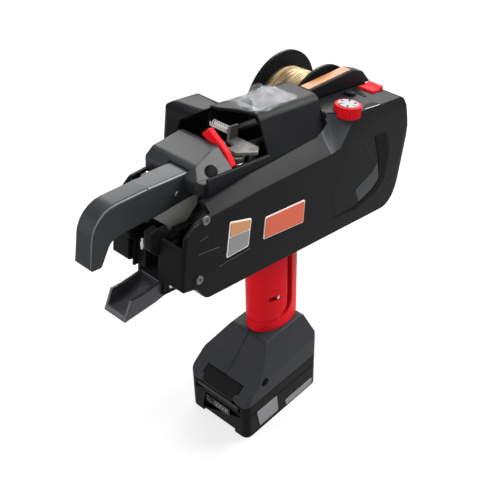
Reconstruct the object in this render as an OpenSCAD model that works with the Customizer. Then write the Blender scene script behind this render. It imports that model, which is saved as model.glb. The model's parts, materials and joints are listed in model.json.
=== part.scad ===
// Battery rebar tying tool. A body with a curved wire arm at its front stands on a grip whose
// foot carries a slide-on battery. A wire reel hangs on the right side and an open hood shows
// the wire feed. X points forward, Y to the left, Z up, and the origin is the centre of the
// battery's underside. Body places are given in the body's own pitched frame.

/* [Battery] */
// Length of the battery from front to rear
battery_len = 102; // [94:1:112]
// Width of the battery
battery_w = 73; // [69:1:78]
// Height of the battery's case
battery_h = 40; // [35:1:48]
// Corner radius of the battery seen from above
battery_r = 7; // [4:0.5:10]
// Height of the lower half of the case
case_split = 29; // [22:1:30]
// Width of the notch between the front feet of the case
notch_w = 40; // [30:1:46]
// Width of the raised tower that slides into the foot
tower_w = 38; // [32:1:42]
// Height of the tower above the case
tower_h = 14; // [12:1:17]

/* [Foot] */
// Length of the foot
foot_len = 102; // [98:1:108]
// Width of the foot
foot_w = 73; // [69:1:78]
// Height of the foot from the battery to the grip
foot_h = 46; // [42:1:54]
// Wall of the foot
foot_wall = 3; // [2.4:0.1:3.6]

/* [Grip] */
// Depth of the grip with the trigger, front to rear
grip_depth = 57; // [54:1:62]
// Width of the grip
grip_w = 38; // [35:1:42]
// Height of the grip between the foot and the body
grip_len = 101; // [94:1:112]
// Distance of the grip's centre behind the battery's centre
grip_back = 25; // [21:1:29]
// Wall of the grip
grip_wall = 3; // [2.4:0.1:3.6]
// Depth of the trigger from its front
trigger_depth = 29; // [26:1:31]
// Free gap behind the trigger's side walls
pull_gap = 7.4; // [7.2:0.1:8.4]
// Height of the trigger
trigger_h = 76; // [70:1:78]

/* [Body] */
// Nose-up angle of the body against the battery's base
pitch = 10; // [8:0.5:12]
// Length of the body without the arm
body_len = 289; // [280:1:300]
// Length of the body behind its frame's origin
body_rear = 122; // [118:1:126]
// Height of the body at its rear deck
body_h = 110; // [106:1:114]
// Reach of the body to the left of the middle plane
body_left = 42; // [40:0.5:45]
// Reach of the body to the right of the middle plane
body_right = 36; // [34:0.5:37]
// Wall of the body
body_wall = 3; // [2.4:0.1:3.6]
// Distance of the body frame's origin behind the battery's centre
body_back = 41; // [38:1:44]

/* [Hood] */
// Reach of the hood to the left
hood_left = 30; // [28:0.5:31]
// Reach of the hood to the right
hood_right = 44; // [42:0.5:46]
// Height of the hood's roof above the deck
hood_rise = 12; // [10:0.5:15]
// Wall of the hood
hood_wall = 2.6; // [2:0.1:3.2]
// Length of the open mouth behind the front boss
mouth_len = 34; // [30:1:38]
// Length of the front boss
boss_len = 40; // [36:1:44]

/* [Arm] */
// Width of the wire arm
arm_w = 18; // [16:0.5:20]
// Reach of the arm ahead of the body
arm_reach = 57; // [52:1:62]
// Drop of the arm's tip below the arm's top
arm_drop = 52; // [48:1:56]
// Wall of the arm's cover
arm_wall = 3.4; // [2.6:0.1:3.6]
// Thickness of the steel nose plates
plate_t = 2.4; // [1.8:0.1:2.6]

/* [Reel] */
// Diameter of the reel's flanges
reel_d = 94; // [90:1:98]
// Width of the reel between its outer faces
reel_w = 46; // [42:1:50]
// Diameter of the wound wire
wound_d = 68; // [60:1:72]
// Diameter of the reel's spindle
spindle_d = 16; // [12:1:20]
// Diameter of the wire as drawn
wire_d = 1.25; // [1.1:0.05:1.3]
// Loops in the outer layer of wire
wire_loops = 21; // [16:1:21]

/* [Feed] */
// Tip diameter of the two feed gears
feed_gear_d = 17; // [15.5:0.5:17]
// Width of the feed gears
feed_gear_w = 9; // [7:0.5:9.5]
// Diameter of the feed motor
feed_motor_d = 30; // [27:0.5:32]
// Outer diameter of the spring
spring_d = 6.6; // [6:0.1:7.4]
// Diameter of the spring's wire
spring_wire = 0.9; // [0.8:0.05:1]
// Curls of the spring
spring_curls = 8; // [6:1:8]

/* [Twister] */
// Diameter of the twist motor
twist_motor_d = 35; // [32:0.5:38]
// Diameter of the gearbox
gearbox_d = 38; // [36:0.5:42]
// Diameter of the twist shaft
shaft_d = 11; // [9:0.5:12]

/* [Controls] */
// Diameter of the setting dial
dial_d = 23; // [20:0.5:24]
// Height of the setting dial
dial_h = 9.5; // [6:0.5:10]
// Length of the rocker switch
rocker_len = 16; // [14:0.5:18]
// Width of the rocker switch
rocker_w = 15; // [12:0.5:17]

/* [Hidden] */
$fn = 48;
overrun = 1;
run_gap = 0.3;
pin_gap = 0.05;
fit_gap = 0.1;
arc_steps = 6;
ellipse_steps = 48;
reach_share = 0.48;

// Colours
shell_black = [0.12, 0.12, 0.13];
light_grey = [0.32, 0.33, 0.34];
tool_red = [0.78, 0.08, 0.1];
steel = [0.6, 0.61, 0.62];
dark_steel = [0.3, 0.3, 0.31];
wire_colour = [0.5, 0.42, 0.3];
clear = [0.8, 0.85, 0.88, 0.4];
pale = [0.85, 0.85, 0.86];
board_green = [0.1, 0.35, 0.2];

// Levels and stations of the grip and body
foot_z = battery_h + run_gap;
grip_z = foot_z + foot_h;
body_rise = grip_z + grip_len;
body_front = body_len - body_rear;
body_span = body_len * 2;
hood_drop = 32;
hood_base = body_h - hood_drop;
hood_top = body_h + hood_rise;
hood_back = 8;
guard_w = 10;
right_drop = 26;
right_top = body_h - right_drop;
boss_setback = 27;
boss_front = body_front - boss_setback;
boss_rear = boss_front - boss_len;
sill_drop = 16;
sill_z = body_h - sill_drop;
arm_top = sill_z;
upper_h = 30;
twist_z = (body_h - upper_h) / 2;

// Outlines as shares of the piece's length and height, with a corner radius share of the height
body_shares = [[0.07, 0, 0.16], [0.905, 0, 0.1], [0.945, 0.125, 0.06], [1, 0.15, 0.03], [1, 0.57, 0.04],
    [0.945, 0.7, 0.05], [0.735, 0.785, 0.2], [0.443, 0.855, 0], [0.4, 1, 0], [0.085, 1, 0.1],
    [0.028, 0.66, 0.3], [0, 0.33, 0.25]];
shoulder_shares = [[-0.03, 0.95, 1, 0.05], [0.2, 0.88, 1, 0.05], [0.32, 0.81, 1, 0.08], [0.394, 0.765,
    0.985, 0.42],
    [0.43, 0.745, 0.87, 0.36],    [0.735, 0.7, 0.785, 0.28], [0.94, 0.65, 0.7, 0.2], [1.03, 0.6, 0.62,
    0.1]];
hood_shares = [[1, 0, 0], [1, 0.27, 0.24], [0.83, 0.48, 0], [0.4, 1, 0.24], [-0.5, 1, 0.3],
    [-0.95, 0.68, 0.2], [-1, 0.14, 0], [-0.84, 0, 0]];
hood_core_shares = [[0.9, -0.3], [0.9, 0.27], [0.75, 0.46], [0.35, 0.94], [-0.48, 0.94], [-0.88, 0.66],
    [-0.93, 0.15], [-0.72, 0], [-0.72, -0.3]];
mouth_shares = [[1, 1.1], [1, 0.3], [0.8, -0.12], [0.45, -0.42], [-0.35, -0.7], [-1.3, -0.7], [-1.3, 1.1]];
fall_shares = [[0, 1.2], [0, 0.8], [0.6, 0.25], [0.85, 0], [2, 0], [2, 1.2]];
boss_shares = [[0, 0, 0], [0.94, 0, 0], [1, 0.45, 0.2], [0.78, 0.76, 0.4], [0.12, 1, 0.2], [0, 1, 0]];
arm_open_shares = [[0.7, -0.2, 0], [1, -0.2, 0], [1, 0.86, 0.46], [0.55, 0.95, 0.5], [-0.1, 1, 0],
    [-0.1, 0.2, 0],
    [0.7, 0.2, 0]];
arm_shares = [[0, 1, 0], [0.55, 0.95, 0.5], [1, 0.86, 0.55], [1, 0, 0.03], [0.915, 0, 0.05], [0.84,
    0.39, 0.22],
    [0.54, 0.42, 0.4], [0, 0.6, 0]];
guide_shares = [[0, 0.97, 0], [0, 0.5, 0.1], [0.38, 0.24, 0.3], [1, 0, 0], [0.88, 0.78, 0.05], [0.64,
    0.82, 0.1],
    [0.28, 1, 0.1]];
guide_core_shares = [[0.1, 0.55], [0.38, 0.24], [1.2, -0.07], [1.2, 1.5], [0.1, 1.5]];
left_contact_shares = [[0, 0.1], [0.6, 0], [0.95, 0.3], [1, 0.92], [0.62, 1], [0, 0.62]];
right_contact_shares = [[0, 0.06], [0.4, 0], [0.72, 0.24], [0.72, 0.36], [1, 0.6], [1, 0.94], [0.8, 1],
    [0, 1]];
plate_shares = [[0, 0.32], [0.2, 0], [0.52, 0], [0.96, 0.5], [1, 0.66], [0.55, 0.78], [0.1, 1], [0, 1]];
foot_shares = [[0, 0, 0], [1, 0, 0], [1, 0.12, 0.1], [0.74, 0.56, 0.9], [0.56, 1, 0.16], [0.05, 1, 0.1],
    [0, 0.5, 0.2]];
foot_cross_shares = [[1, 0, 0], [1, 0.46, 0.14], [0.58, 1, 0.1], [-0.58, 1, 0.1], [-1, 0.46, 0.14], [-1,
    0, 0]];
guard_shares = [[0, 0], [1, 0], [1, 0.65], [0.34, 1], [0.16, 0.72]];
lever_shares = [[-1, 0.72], [-0.62, 1], [0.1, 0.72], [0.62, 0.46], [1, 0.1], [0.86, 0], [0.5, 0.28],
    [-0.2, 0.5]];
panel_shares = [[0, 0.12, 0.1], [0.82, 0, 0.1], [1, 0.3, 0.1], [0.86, 1, 0.1], [0.6, 0.98, 0.1]];
hook_shares = [[0, 0.2], [0.55, 0.2], [1, 0], [1, 0.45], [0.7, 0.8], [0, 0.8]];

// Corner arcs of an outline
function turn(a, b) = (b - a + 540) % 360 - 180;
function heading(v) = atan2(v[1], v[0]);
function corner_arc(p, q, s, r) =
    let (u = (p - q) / norm(p - q))
    let (v = (s - q) / norm(s - q))
    let (half = acos(u * v) / 2)
    let (reach = min(r / tan(half), reach_share * min(norm(p - q), norm(s - q))))
    let (c = q + (u + v) / norm(u + v) * reach / cos(half))
    let (from = heading(q + u * reach - c))
    let (sweep = turn(from, heading(q + v * reach - c)))
    r <= 0 ? [q] : [for (i = [0 : arc_steps])
        c + reach * tan(half) * [cos(from + sweep * i / arc_steps), sin(from + sweep * i / arc_steps)]];
function rounded(pts, radii) =
    let (n = len(pts))
    [for (i = [0 : n - 1]) each corner_arc(pts[(i + n - 1) % n], pts[i], pts[(i + 1) % n], radii[i])];
function scaled(shares, l, h, at = [0, 0]) = [for (s = shares) at + [s[0] * l, s[1] * h]];
function outline(shares, l, h, at = [0, 0]) = rounded(scaled(shares, l, h, at),
    [for (s = shares) s[2] * h]);
// Outline moved inward by a wall, for outlines that run counter-clockwise
function inward(a, b) = [a[1] - b[1], b[0] - a[0]] / norm(b - a);
function inset(pts, d) =
    let (n = len(pts))
    [for (i = [0 : n - 1])
        let (a = inward(pts[(i + n - 1) % n], pts[i]))
        let (b = inward(pts[i], pts[(i + 1) % n]))
        pts[i] + d * (a + b) / (1 + a * b)];
function ellipse(a, b) = [for (i = [0 : ellipse_steps - 1])
    [a * cos(360 * i / ellipse_steps), b * sin(360 * i / ellipse_steps)]];
function gear(tip, teeth, depth) = [for (i = [0 : teeth - 1]) for (k = [-1, -0.5, 0.5, 1])
    (abs(k) < 1 ? tip : tip - depth) * [cos(360 * (i + k * tooth_share) / teeth),
        sin(360 * (i + k * tooth_share) / teeth)]];
tooth_share = 0.3;

// Frames and prisms
module in_body() {
    translate([-body_back, 0, body_rise])
        rotate([0, -pitch, 0])
            children();
}
module side_prism(pts, y0, y1) {
    translate([0, y1, 0])
        rotate([90, 0, 0])
            linear_extrude(y1 - y0)
                polygon(pts);
}
module cross_prism(pts, x0, x1) {
    translate([x0, 0, 0])
        rotate([90, 0, 90])
            linear_extrude(x1 - x0)
                polygon(pts);
}
module plan_prism(pts, z0, z1) {
    translate([0, 0, z0])
        linear_extrude(z1 - z0)
            polygon(pts);
}
module block(low, high) {
    translate(low)
        cube(high - low);
}
module rod_x(y, z, x0, x1, r) {
    translate([x0, y, z])
        rotate([0, 90, 0])
            cylinder(h = x1 - x0, r = r);
}
module rod_y(x, z, y0, y1, r) {
    translate([x, y1, z])
        rotate([90, 0, 0])
            cylinder(h = y1 - y0, r = r);
}
module rod_z(x, y, z0, z1, r) {
    translate([x, y, z0])
        cylinder(h = z1 - z0, r = r);
}
// Solid through a row of rings with the same number of points
module loft(rings) {
    n = len(rings[0]);
    m = len(rings);
    sides = [for (j = [0 : m - 2]) for (i = [0 : n - 1])
        each [[j * n + i, j * n + (i + 1) % n, (j + 1) * n + i],
            [(j + 1) * n + i, j * n + (i + 1) % n, (j + 1) * n + (i + 1) % n]]];
    caps = [[for (i = [n - 1 : -1 : 0]) i], [for (i = [0 : n - 1]) (m - 1) * n + i]];
    polyhedron([for (r = rings) each r], concat(sides, caps));
}
// Tube along points, with rings square to the way
tube_sides = 6;
function unit(v) = v / norm(v);
function ring(c, way, up, r) =
    let (a = unit(cross(way, up)))
    let (b = cross(a, way))
    [for (k = [0 : tube_sides - 1]) c + r * (cos(360 * k / tube_sides) * a + sin(360 * k / tube_sides) * b)];
module tube(pts, ups, r) {
    n = len(pts);
    ways = [for (i = [0 : n - 1]) unit(pts[min(i + 1, n - 1)] - pts[max(i - 1, 0)])];
    loft([for (i = [0 : n - 1]) ring(pts[i], ways[i], ups[i], r)]);
}
// Least distance between points of a winding that lie at least half a turn apart
function least_gap(pts, skip, d) = min([for (i = [0 : len(pts) - 1]) for (j = [i + skip : len(pts) - 1])
    if (i + skip < len(pts)) norm(pts[i] - pts[j])]) - d;

// Body shells
body_core = scaled(body_shares, body_len, body_h, [-body_rear, 0]);
rear_round = 15;
front_round = 3;
plan_core = [[-body_rear, -body_right], [body_front, -body_right], [body_front, body_left],
    [-body_rear, body_left]];
plan_radii = [rear_round, front_round, front_round, rear_round];
body_radii = [for (s = body_shares) s[2] * body_h];
ledge_drop = 48;
rear_ledge = body_h - ledge_drop;
well_drop = 50;
well_floor = body_h - well_drop;
nose_back = 29;
nose_left = 17;
nose_floor = 2;
grip_way = [26, 18];
grip_way_x = 16;
reel_drop = 26;
reel_at = [-46, body_h - reel_drop];
pocket_gap = 3;
pocket_r = reel_d / 2 + pocket_gap;
inner_bevel_share = 1.3;
panel_at = [-94, 16];
panel_size = [88, 68];
panel_depth = 0.8;
dial_at = [-26, 31];
dial_sink = 4.5;
rocker_at = [-84, 13];
button_at = [-57, 10];
button_d = 9;
dial_stem_d = 8;
rocker_pocket = 6;
rocker_gap = 0.6;
rocker_pin = [1.8, 3];
board_at = [-62, 20];
board_size = [64, 46];
board_y = 31;
board_t = 1.6;
post_d = 6;
lug_share = 0.655;
lug_at = [148, body_h * lug_share];
lug_low_at = [150, 22];
screw_d = 7;
screw_head = 1.6;
cover_r = 21;
cover_at = [78, -40];
cover_low = 16;
cover_rise = 8;
cover_top = body_h + cover_rise;
cover_near = -24;
cover_corner = 11;
cover_foot_r = 6;
cover_top_r = 13;
cover_core = [[cover_at[0] - cover_r, cover_at[1] - cover_r], [cover_at[0] + cover_r,
    cover_at[1] - cover_r],
    [cover_at[0] + cover_r, cover_near], [cover_at[0] - cover_r, cover_near]];
cover_plan = rounded(cover_core, [cover_corner, cover_corner, 0, 0]);

shoulder_over = 9;
function shoulder_ring(s) =
    let (x = s[0] * body_len - body_rear)
    [[x, body_left + body_wall, s[1] * body_h], [x, body_left, s[1] * body_h],
        [x, body_left * (1 - s[3]), s[2] * body_h], [x, body_left * (1 - s[3]), body_h + shoulder_over],
        [x, body_left + body_wall, body_h + shoulder_over]];
module shoulder(d) {
    translate([0, -d, -d])
        loft([for (s = shoulder_shares) shoulder_ring(s)]);
}
module body_form(y0, y1, wall = 0) {
    intersection() {
        side_prism(rounded(inset(body_core, wall), body_radii), y0, y1);
        plan_prism(rounded(inset(plan_core, wall), plan_radii), -overrun, body_h + overrun);
    }
}
module hood_well() {
    block([-hood_back + body_wall, -body_right + body_wall, well_floor],
        [boss_front, hood_left - body_wall, body_h + overrun]);
}
module nose_well() {
    block([body_front - nose_back, -nose_left, nose_floor], [body_front + overrun, nose_left, body_h]);
    block([boss_front, body_wall - body_right, cheek_top],
        [body_front + overrun, body_left - body_wall, body_h]);
    for (y = [guide_w / 2 + run_gap, -guide_w / 2 - run_gap - ear_w])
        block([body_front - nose_back, y - fit_gap, -overrun],
            [body_front + overrun, y + ear_w + fit_gap, nose_floor + overrun]);
}
module grip_well() {
    block([grip_way_x - grip_way[0] / 2, -grip_way[1] / 2, -overrun],
        [grip_way_x + grip_way[0] / 2, grip_way[1] / 2, body_wall + overrun]);
}
module reel_pocket(gap) {
    rod_y(reel_at[0], reel_at[1], -body_span, -guard_w + gap, pocket_r + gap);
}
module left_body_shell() {
    color(shell_black)
        in_body()
            difference() {
                union() {
                    difference() {
                        body_form(0, body_left);
                        shoulder(0);
                        difference() {
                            body_form(-overrun, body_left, body_wall);
                            shoulder(body_wall * inner_bevel_share);
                            rod_z(dial_at[0], dial_at[1], body_h - dial_sink - body_wall, body_h,
                                dial_d / 2 + body_wall);
                        }
                    }
                    for (side = [-1, 1], rise = [0, 1])
                        rod_y(board_at[0] + side * (board_size[0] / 2 - post_d),
                            board_at[1] + post_d + rise * (board_size[1] - post_d * 2),
                            board_y + board_t, body_left - body_wall, post_d / 2);
                }
                hood_well();
                nose_well();
                grip_well();
                side_prism(outline(panel_shares, panel_size[0], panel_size[1], panel_at),
                    body_left - panel_depth, body_left + overrun);
                rod_z(dial_at[0], dial_at[1], well_floor, body_h + overrun, dial_stem_d / 2 + pin_gap);
                rod_z(dial_at[0], dial_at[1], body_h - dial_sink, body_h + overrun, dial_d / 2 + run_gap);
                rod_z(button_at[0], button_at[1], well_floor, body_h + overrun, button_d / 2 + run_gap);
                block([rocker_at[0] - rocker_len / 2 - rocker_gap,
                    rocker_at[1] - rocker_w / 2 - run_gap, well_floor],
                    [rocker_at[0] + rocker_len / 2 + rocker_gap, rocker_at[1] + rocker_w / 2 + run_gap,
                        body_h + overrun]);
                rod_y(rocker_at[0], body_h - body_wall / 2, rocker_at[1] - rocker_w / 2 - rocker_pin[1],
                    rocker_at[1] + rocker_w / 2 + rocker_pin[1], rocker_pin[0] / 2 + pin_gap);
            }
}
module right_body_shell() {
    color(shell_black)
        in_body()
            difference() {
                union() {
                    intersection() {
                        body_form(-body_right, 0);
                        union() {
                            block([-body_span, -body_right, -overrun], [body_span, 0, rear_ledge]);
                            block([reel_at[0], -body_right, -overrun], [body_span, 0, right_top]);
                        }
                    }
                    intersection() {
                        body_form(-guard_w, 0);
                        block([-body_span, -guard_w, 0], [-hood_back, 0, body_h]);
                    }
                }
                difference() {
                    intersection() {
                        body_form(-body_right, overrun, body_wall);
                        union() {
                            block([-body_span, -body_right, 0], [body_span, overrun,
                                rear_ledge - body_wall]);
                            block([reel_at[0], -body_right, 0], [body_span, overrun,
                                right_top - body_wall]);
                        }
                    }
                    reel_pocket(body_wall);
                }
                reel_pocket(0);
                rod_y(reel_at[0], reel_at[1], -guard_w - overrun, -body_wall, spindle_d / 2 + pin_gap);
                hood_well();
                nose_well();
                grip_well();
                rod_z(cover_at[0], cover_at[1], cover_low, body_h, cover_r - hood_wall);
            }
}
module body_screws() {
    color(steel)
        in_body()
            for (p = [lug_at, lug_low_at])
                difference() {
                    rod_y(p[0], p[1], body_left, body_left + screw_head, screw_d / 2);
                    rod_y(p[0], p[1], body_left + screw_head / 2, body_left + screw_head * 2,
                        screw_d / 4, $fn = 6);
                }
}

// Hood, boss, guard and clear cover
function hood_pt(s) = [s[0] * (s[0] > 0 ? hood_left : hood_right),
    hood_base + s[1] * (hood_top - hood_base)];
hood_cross = rounded([for (s = hood_shares) hood_pt(s)],
    [for (s = hood_shares) s[2] * (hood_top - hood_base)]);
hood_core = [for (s = hood_core_shares) hood_pt(s)];
hood_setback = 6;
fall_back = 18;
hood_front = boss_front - hood_setback;
window_low = [20, -16];
window_high = [56, 5];
module hood() {
    color(shell_black)
        in_body()
            difference() {
                union() {
                    cross_prism(hood_cross, -hood_back, hood_front);
                    for (x = [clear_low[0] - run_gap - ear_t, clear_wing[0] + run_gap])
                        block([x, clear_wing[1] - hinge_r, clear_hinge_z - hinge_r],
                            [x + ear_t, -hood_right + ear_root, clear_hinge_z + hinge_r]);
                }
                cross_prism(hood_core, -hood_back + hood_wall, hood_front + overrun);
                plan_prism([for (s = mouth_shares) [boss_rear - s[0] * mouth_len,
                    s[1] * (s[1] > 0 ? hood_left : hood_right)]], sill_z, hood_top + overrun);
                side_prism(scaled(fall_shares, boss_len, hood_top - sill_z, [boss_rear - fall_back,
                    sill_z]),
                    -hood_right - overrun, 0);
                side_prism(body_core, hood_left - body_wall, body_left);
                block([-hood_back - overrun, -overrun, 0], [-hood_back + body_wall, hood_left, body_h]);
                block([boss_rear - fit_gap, -boss_right - fit_gap, boss_base], [body_span,
                    boss_left + fit_gap, hood_top]);
                block([-body_span, -body_right, -body_h], [body_span, 0, right_top]);
                reel_pocket(0);
                plan_prism(inset(cover_plan, -fit_gap), 0, hood_top + overrun);
                block([cover_at[0], -hood_right - overrun, 0], [body_span, cover_near, hood_top + overrun]);
                plan_prism([window_low, [window_high[0], window_low[1]], window_high, [window_low[0],
                    window_high[1]]],
                    hood_top - hood_wall * 2, hood_top + overrun);
                rod_x(clear_wing[1], clear_hinge_z, -hood_back, hood_front, hinge_pin_r + pin_gap);
            }
}
boss_drop = 31;
boss_base = body_h - boss_drop;
boss_h = 24;
boss_left = 26;
boss_ridge = 5;
boss_ridge_r = 7;
boss_near_share = 0.36;
boss_right = body_right - body_wall;
boss_hole_d = 10;
boss_hole_drop = 17;
boss_hole_at = [121, 19, body_h - boss_hole_drop];
boss_hole_depth = 9;
boss_corner = 9;
boss_hole_turn = 45;
boss_hole_tilt = 60;
module front_boss() {
    color(light_grey)
        in_body() {
            rod_x(lever_pivot[0], lever_pivot[1], lever_x[0] - lever_head, boss_rear + overrun,
                lever_pin_d / 2);
            rod_x(lever_pivot[0], lever_pivot[1], lever_x[0] - lever_head, lever_x[0] - run_gap,
                lever_pin_d);
            difference() {
                intersection() {
                    side_prism(outline(boss_shares, boss_len, boss_h, [boss_rear, boss_base]),
                        -boss_right, boss_left);
                    plan_prism(rounded([[boss_rear, -boss_right], [boss_front, -boss_right],
                        [boss_front, boss_left],
                        [boss_rear, boss_left]], [0, boss_corner / 3, boss_corner, 0]), 0, hood_top);
                    cross_prism(rounded([[-boss_right, boss_base], [boss_left, boss_base],
                        [boss_left, boss_base + boss_h * boss_near_share], [boss_ridge, boss_base + boss_h],
                        [-boss_right, boss_base + boss_h]], [0, 0, 0, boss_ridge_r, 0]), boss_rear,
                        boss_front);
                }
                block([boss_rear - overrun, -arm_w / 2 - root_step - fit_gap, 0],
                    [boss_front + overrun, arm_w / 2 + fit_gap, arm_top + fit_gap]);
                rod_z(feed_x, -feed_y, 0, spur_z + spur_t + run_gap, spur_d / 2 + run_gap);
                translate(boss_hole_at)
                    rotate([0, boss_hole_tilt, boss_hole_turn])
                        translate([0, 0, -boss_hole_depth / 2])
                            cylinder(h = boss_hole_depth * 2, d = boss_hole_d);
            }
        }
}
guard_len = 92;
guard_h = 17;
guard_left = 2;
module reel_guard() {
    color(shell_black)
        in_body()
            side_prism(scaled(guard_shares, guard_len, guard_h, [-hood_back - guard_len, body_h]),
                -guard_w, guard_left);
}
cover_t = 1.2;
clear_low = [12, -23];
clear_high = [64, 9];
clear_wing = [54, -44.6];
clear_drop = 3.4;
clear_hinge_z = body_h - clear_drop;
hinge_r = 1.8;
hinge_pin_r = 1;
ear_t = 3;
ear_root = 3.6;
module clear_cover() {
    color(clear)
        in_body() {
            block([clear_low[0], clear_low[1], hood_top + run_gap],
                [clear_high[0], clear_high[1], hood_top + run_gap + cover_t]);
            cross_prism([[clear_low[1], hood_top + run_gap], [clear_low[1], hood_top + run_gap + cover_t],
                [clear_wing[1], clear_hinge_z + hinge_r], [clear_wing[1],
                clear_hinge_z + hinge_r - cover_t]],
                clear_low[0], clear_wing[0]);
            rod_x(clear_wing[1], clear_hinge_z, clear_low[0], clear_wing[0], hinge_r);
            rod_x(clear_wing[1], clear_hinge_z, clear_low[0] - ear_t, clear_wing[0] + ear_t, hinge_pin_r);
        }
}
module feed_motor_cover() {
    color(shell_black)
        in_body() {
            difference() {
                intersection() {
                    plan_prism(cover_plan, cover_low, cover_top);
                    side_prism(rounded([[cover_at[0] - cover_r, cover_low], [cover_at[0] + cover_r,
                        cover_low],
                        [cover_at[0] + cover_r, cover_top], [cover_at[0] - cover_r, cover_top]],
                        [cover_foot_r, cover_foot_r, cover_top_r, cover_top_r]), -body_span, body_span);
                    cross_prism(rounded([[cover_at[1] - cover_r, cover_low], [0, cover_low], [0, cover_top],
                        [cover_at[1] - cover_r, cover_top]], [cover_foot_r, 0, 0, cover_top_r]), 0,
                        body_span);
                }
                rod_z(cover_at[0], cover_at[1], cover_low + hood_wall, cover_top - cover_top_r,
                    cover_r - hood_wall);
                block([0, -body_right, 0], [body_span, body_span, right_top]);
                cross_prism(hood_core, 0, body_span);
            }
            block([spring_at[0] - spring_d / 2, spring_y[0] - plate_t, spring_at[1] - spring_d / 2],
                [spring_at[0] + spring_d / 2, spring_y[0], cover_top - hood_wall]);
        }
}

// Arm, nose and jaw
root_len = 55;
arm_root = body_front - root_len;
arm_len = arm_reach + root_len;
arm_outline = outline(arm_shares, arm_len, arm_drop, [arm_root, arm_top - arm_drop]);
root_step = 2.5;
step_len = 52;
tip_lug = [8, 13];
arm_open = scaled(arm_open_shares, arm_len, arm_drop, [arm_root, arm_top - arm_drop]);
liner_t = 4;
module arm_channel(wall, side) {
    side_prism(rounded(inset(arm_open, wall), [for (s = arm_open_shares) max(0, s[2] * arm_drop - wall)]),
        -arm_w / 2 + side, arm_w / 2 - side);
}
module wire_arm() {
    color(shell_black)
        in_body()
            difference() {
                union() {
                    side_prism(arm_outline, -arm_w / 2, arm_w / 2);
                    intersection() {
                        side_prism(arm_outline, -arm_w / 2 - root_step, 0);
                        block([arm_root, -arm_w, 0], [arm_root + step_len, 0, hood_top]);
                    }
                    block([body_front + arm_reach - tip_lug[0] - root_step, -arm_w / 2 - root_step,
                        arm_top - arm_drop],
                        [body_front + arm_reach - root_step, 0, arm_top - arm_drop + tip_lug[1]]);
                }
                arm_channel(arm_wall, arm_wall);
            }
}
module curl_liner() {
    color(steel)
        in_body()
            intersection() {
                side_prism(arm_outline, -arm_w, arm_w);
                difference() {
                    arm_channel(arm_wall + fit_gap, arm_wall + fit_gap);
                    arm_channel(arm_wall + liner_t, 0);
                }
            }
}
arm_screw_d = 5;
arm_screw_drop = 16;
arm_screw_at = [145, arm_top - arm_screw_drop];
module arm_screws() {
    color(steel)
        in_body() {
            rod_y(arm_screw_at[0], arm_screw_at[1], arm_w / 2, arm_w / 2 + screw_head, arm_screw_d / 2);
            rod_y(arm_screw_at[0] + arm_screw_d * 2, arm_screw_at[1] + arm_screw_d * 2,
                -arm_w / 2 - root_step
                - screw_head, -arm_w / 2 - root_step, arm_screw_d / 2);
        }
}
nose_plate_lead = 6;
nose_plate_out = 3;
nose_plate_gap = 8;
nose_plate_drop = 11;
nose_plate_at = [arm_root + nose_plate_lead, twist_z + nose_plate_gap];
nose_plate_len = body_front + nose_plate_out - nose_plate_at[0];
nose_plate_h = arm_top - nose_plate_drop - nose_plate_at[1];
plate_y = 2.6;
module nose_plates() {
    color(steel)
        in_body()
            for (y = [plate_y, -plate_y - plate_t])
                side_prism(scaled(plate_shares, nose_plate_len, nose_plate_h, nose_plate_at), y,
                    y + plate_t);
}
nose_setback = 9;
nose_front = body_front - nose_setback;
nose_drop = 7;
nose_top = twist_z - nose_drop;
nose_low = 11;
slot_half = 7;
bar_w = 2;
bar_out = 4;
ear_w = 2.6;
ear_low = -3;
guide_w = 24;
guide_pin_d = 5;
cheek_len = 10;
cheek_rise = 12;
cheek_top = twist_z + cheek_rise;
guide_pin_at = [150, 3];
module front_cover() {
    color(shell_black)
        in_body()
            difference() {
                union() {
                    block([body_front - nose_back, -nose_left, nose_low], [nose_front, nose_left,
                        nose_top]);
                    for (y = [-nose_left, nose_left - bar_w, nose_left - bar_w * 3])
                        block([nose_front - overrun, y, nose_low], [nose_front + bar_out, y + bar_w,
                            nose_top]);
                    for (y = [guide_w / 2 + run_gap, -guide_w / 2 - run_gap - ear_w])
                        block([body_front - nose_back, y, ear_low], [nose_front, y + ear_w,
                            nose_low + overrun]);
                    for (y = [contact_y, -contact_y - contact_w])
                        block([body_front - nose_back, y, nose_top - overrun],
                            [body_front - nose_back + cheek_len, y + contact_w, cheek_top]);
                }
                for (y = [contact_y + contact_w / 2, -contact_y - contact_w / 2])
                    rod_x(y, contact_rod_z, 0, body_span, contact_rod_d / 2 + pin_gap);
                block([body_front - nose_back + bar_out, -slot_half, nose_low - overrun],
                    [body_span, slot_half, nose_top + overrun]);
                rod_y(guide_pin_at[0], guide_pin_at[1], -nose_left - overrun, nose_left + overrun,
                    guide_pin_d / 2 + pin_gap);
            }
}
module guide_pin() {
    color(steel)
        in_body()
            rod_y(guide_pin_at[0], guide_pin_at[1], -guide_w / 2 - ear_w - run_gap,
                guide_w / 2 + ear_w + run_gap,
                guide_pin_d / 2);
}
guide_size = [50, 22];
guide_at = [144, -14];
guide_wall = 2.4;
module lower_guide() {
    color(shell_black)
        in_body()
            difference() {
                side_prism(outline(guide_shares, guide_size[0], guide_size[1], guide_at), -guide_w / 2,
                    guide_w / 2);
                translate([guide_pin_d * 2, 0, guide_wall])
                    side_prism(scaled(guide_core_shares, guide_size[0], guide_size[1], guide_at),
                        -guide_w / 2 + guide_wall, guide_w / 2 - guide_wall);
                rod_y(guide_pin_at[0], guide_pin_at[1], -guide_w, guide_w, guide_pin_d / 2 + pin_gap);
            }
}
contact_w = 7.2;
contact_gap = 0.5;
contact_y = arm_w / 2 + contact_gap;
contact_drop = 3;
left_contact_at = [157, twist_z - contact_drop];
left_contact_size = [20, 24];
right_contact_at = left_contact_at;
right_contact_size = [22, 22];
contact_rod_d = 5;
contact_rod_rise = 5.5;
contact_rod_z = twist_z + contact_rod_rise;
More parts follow.
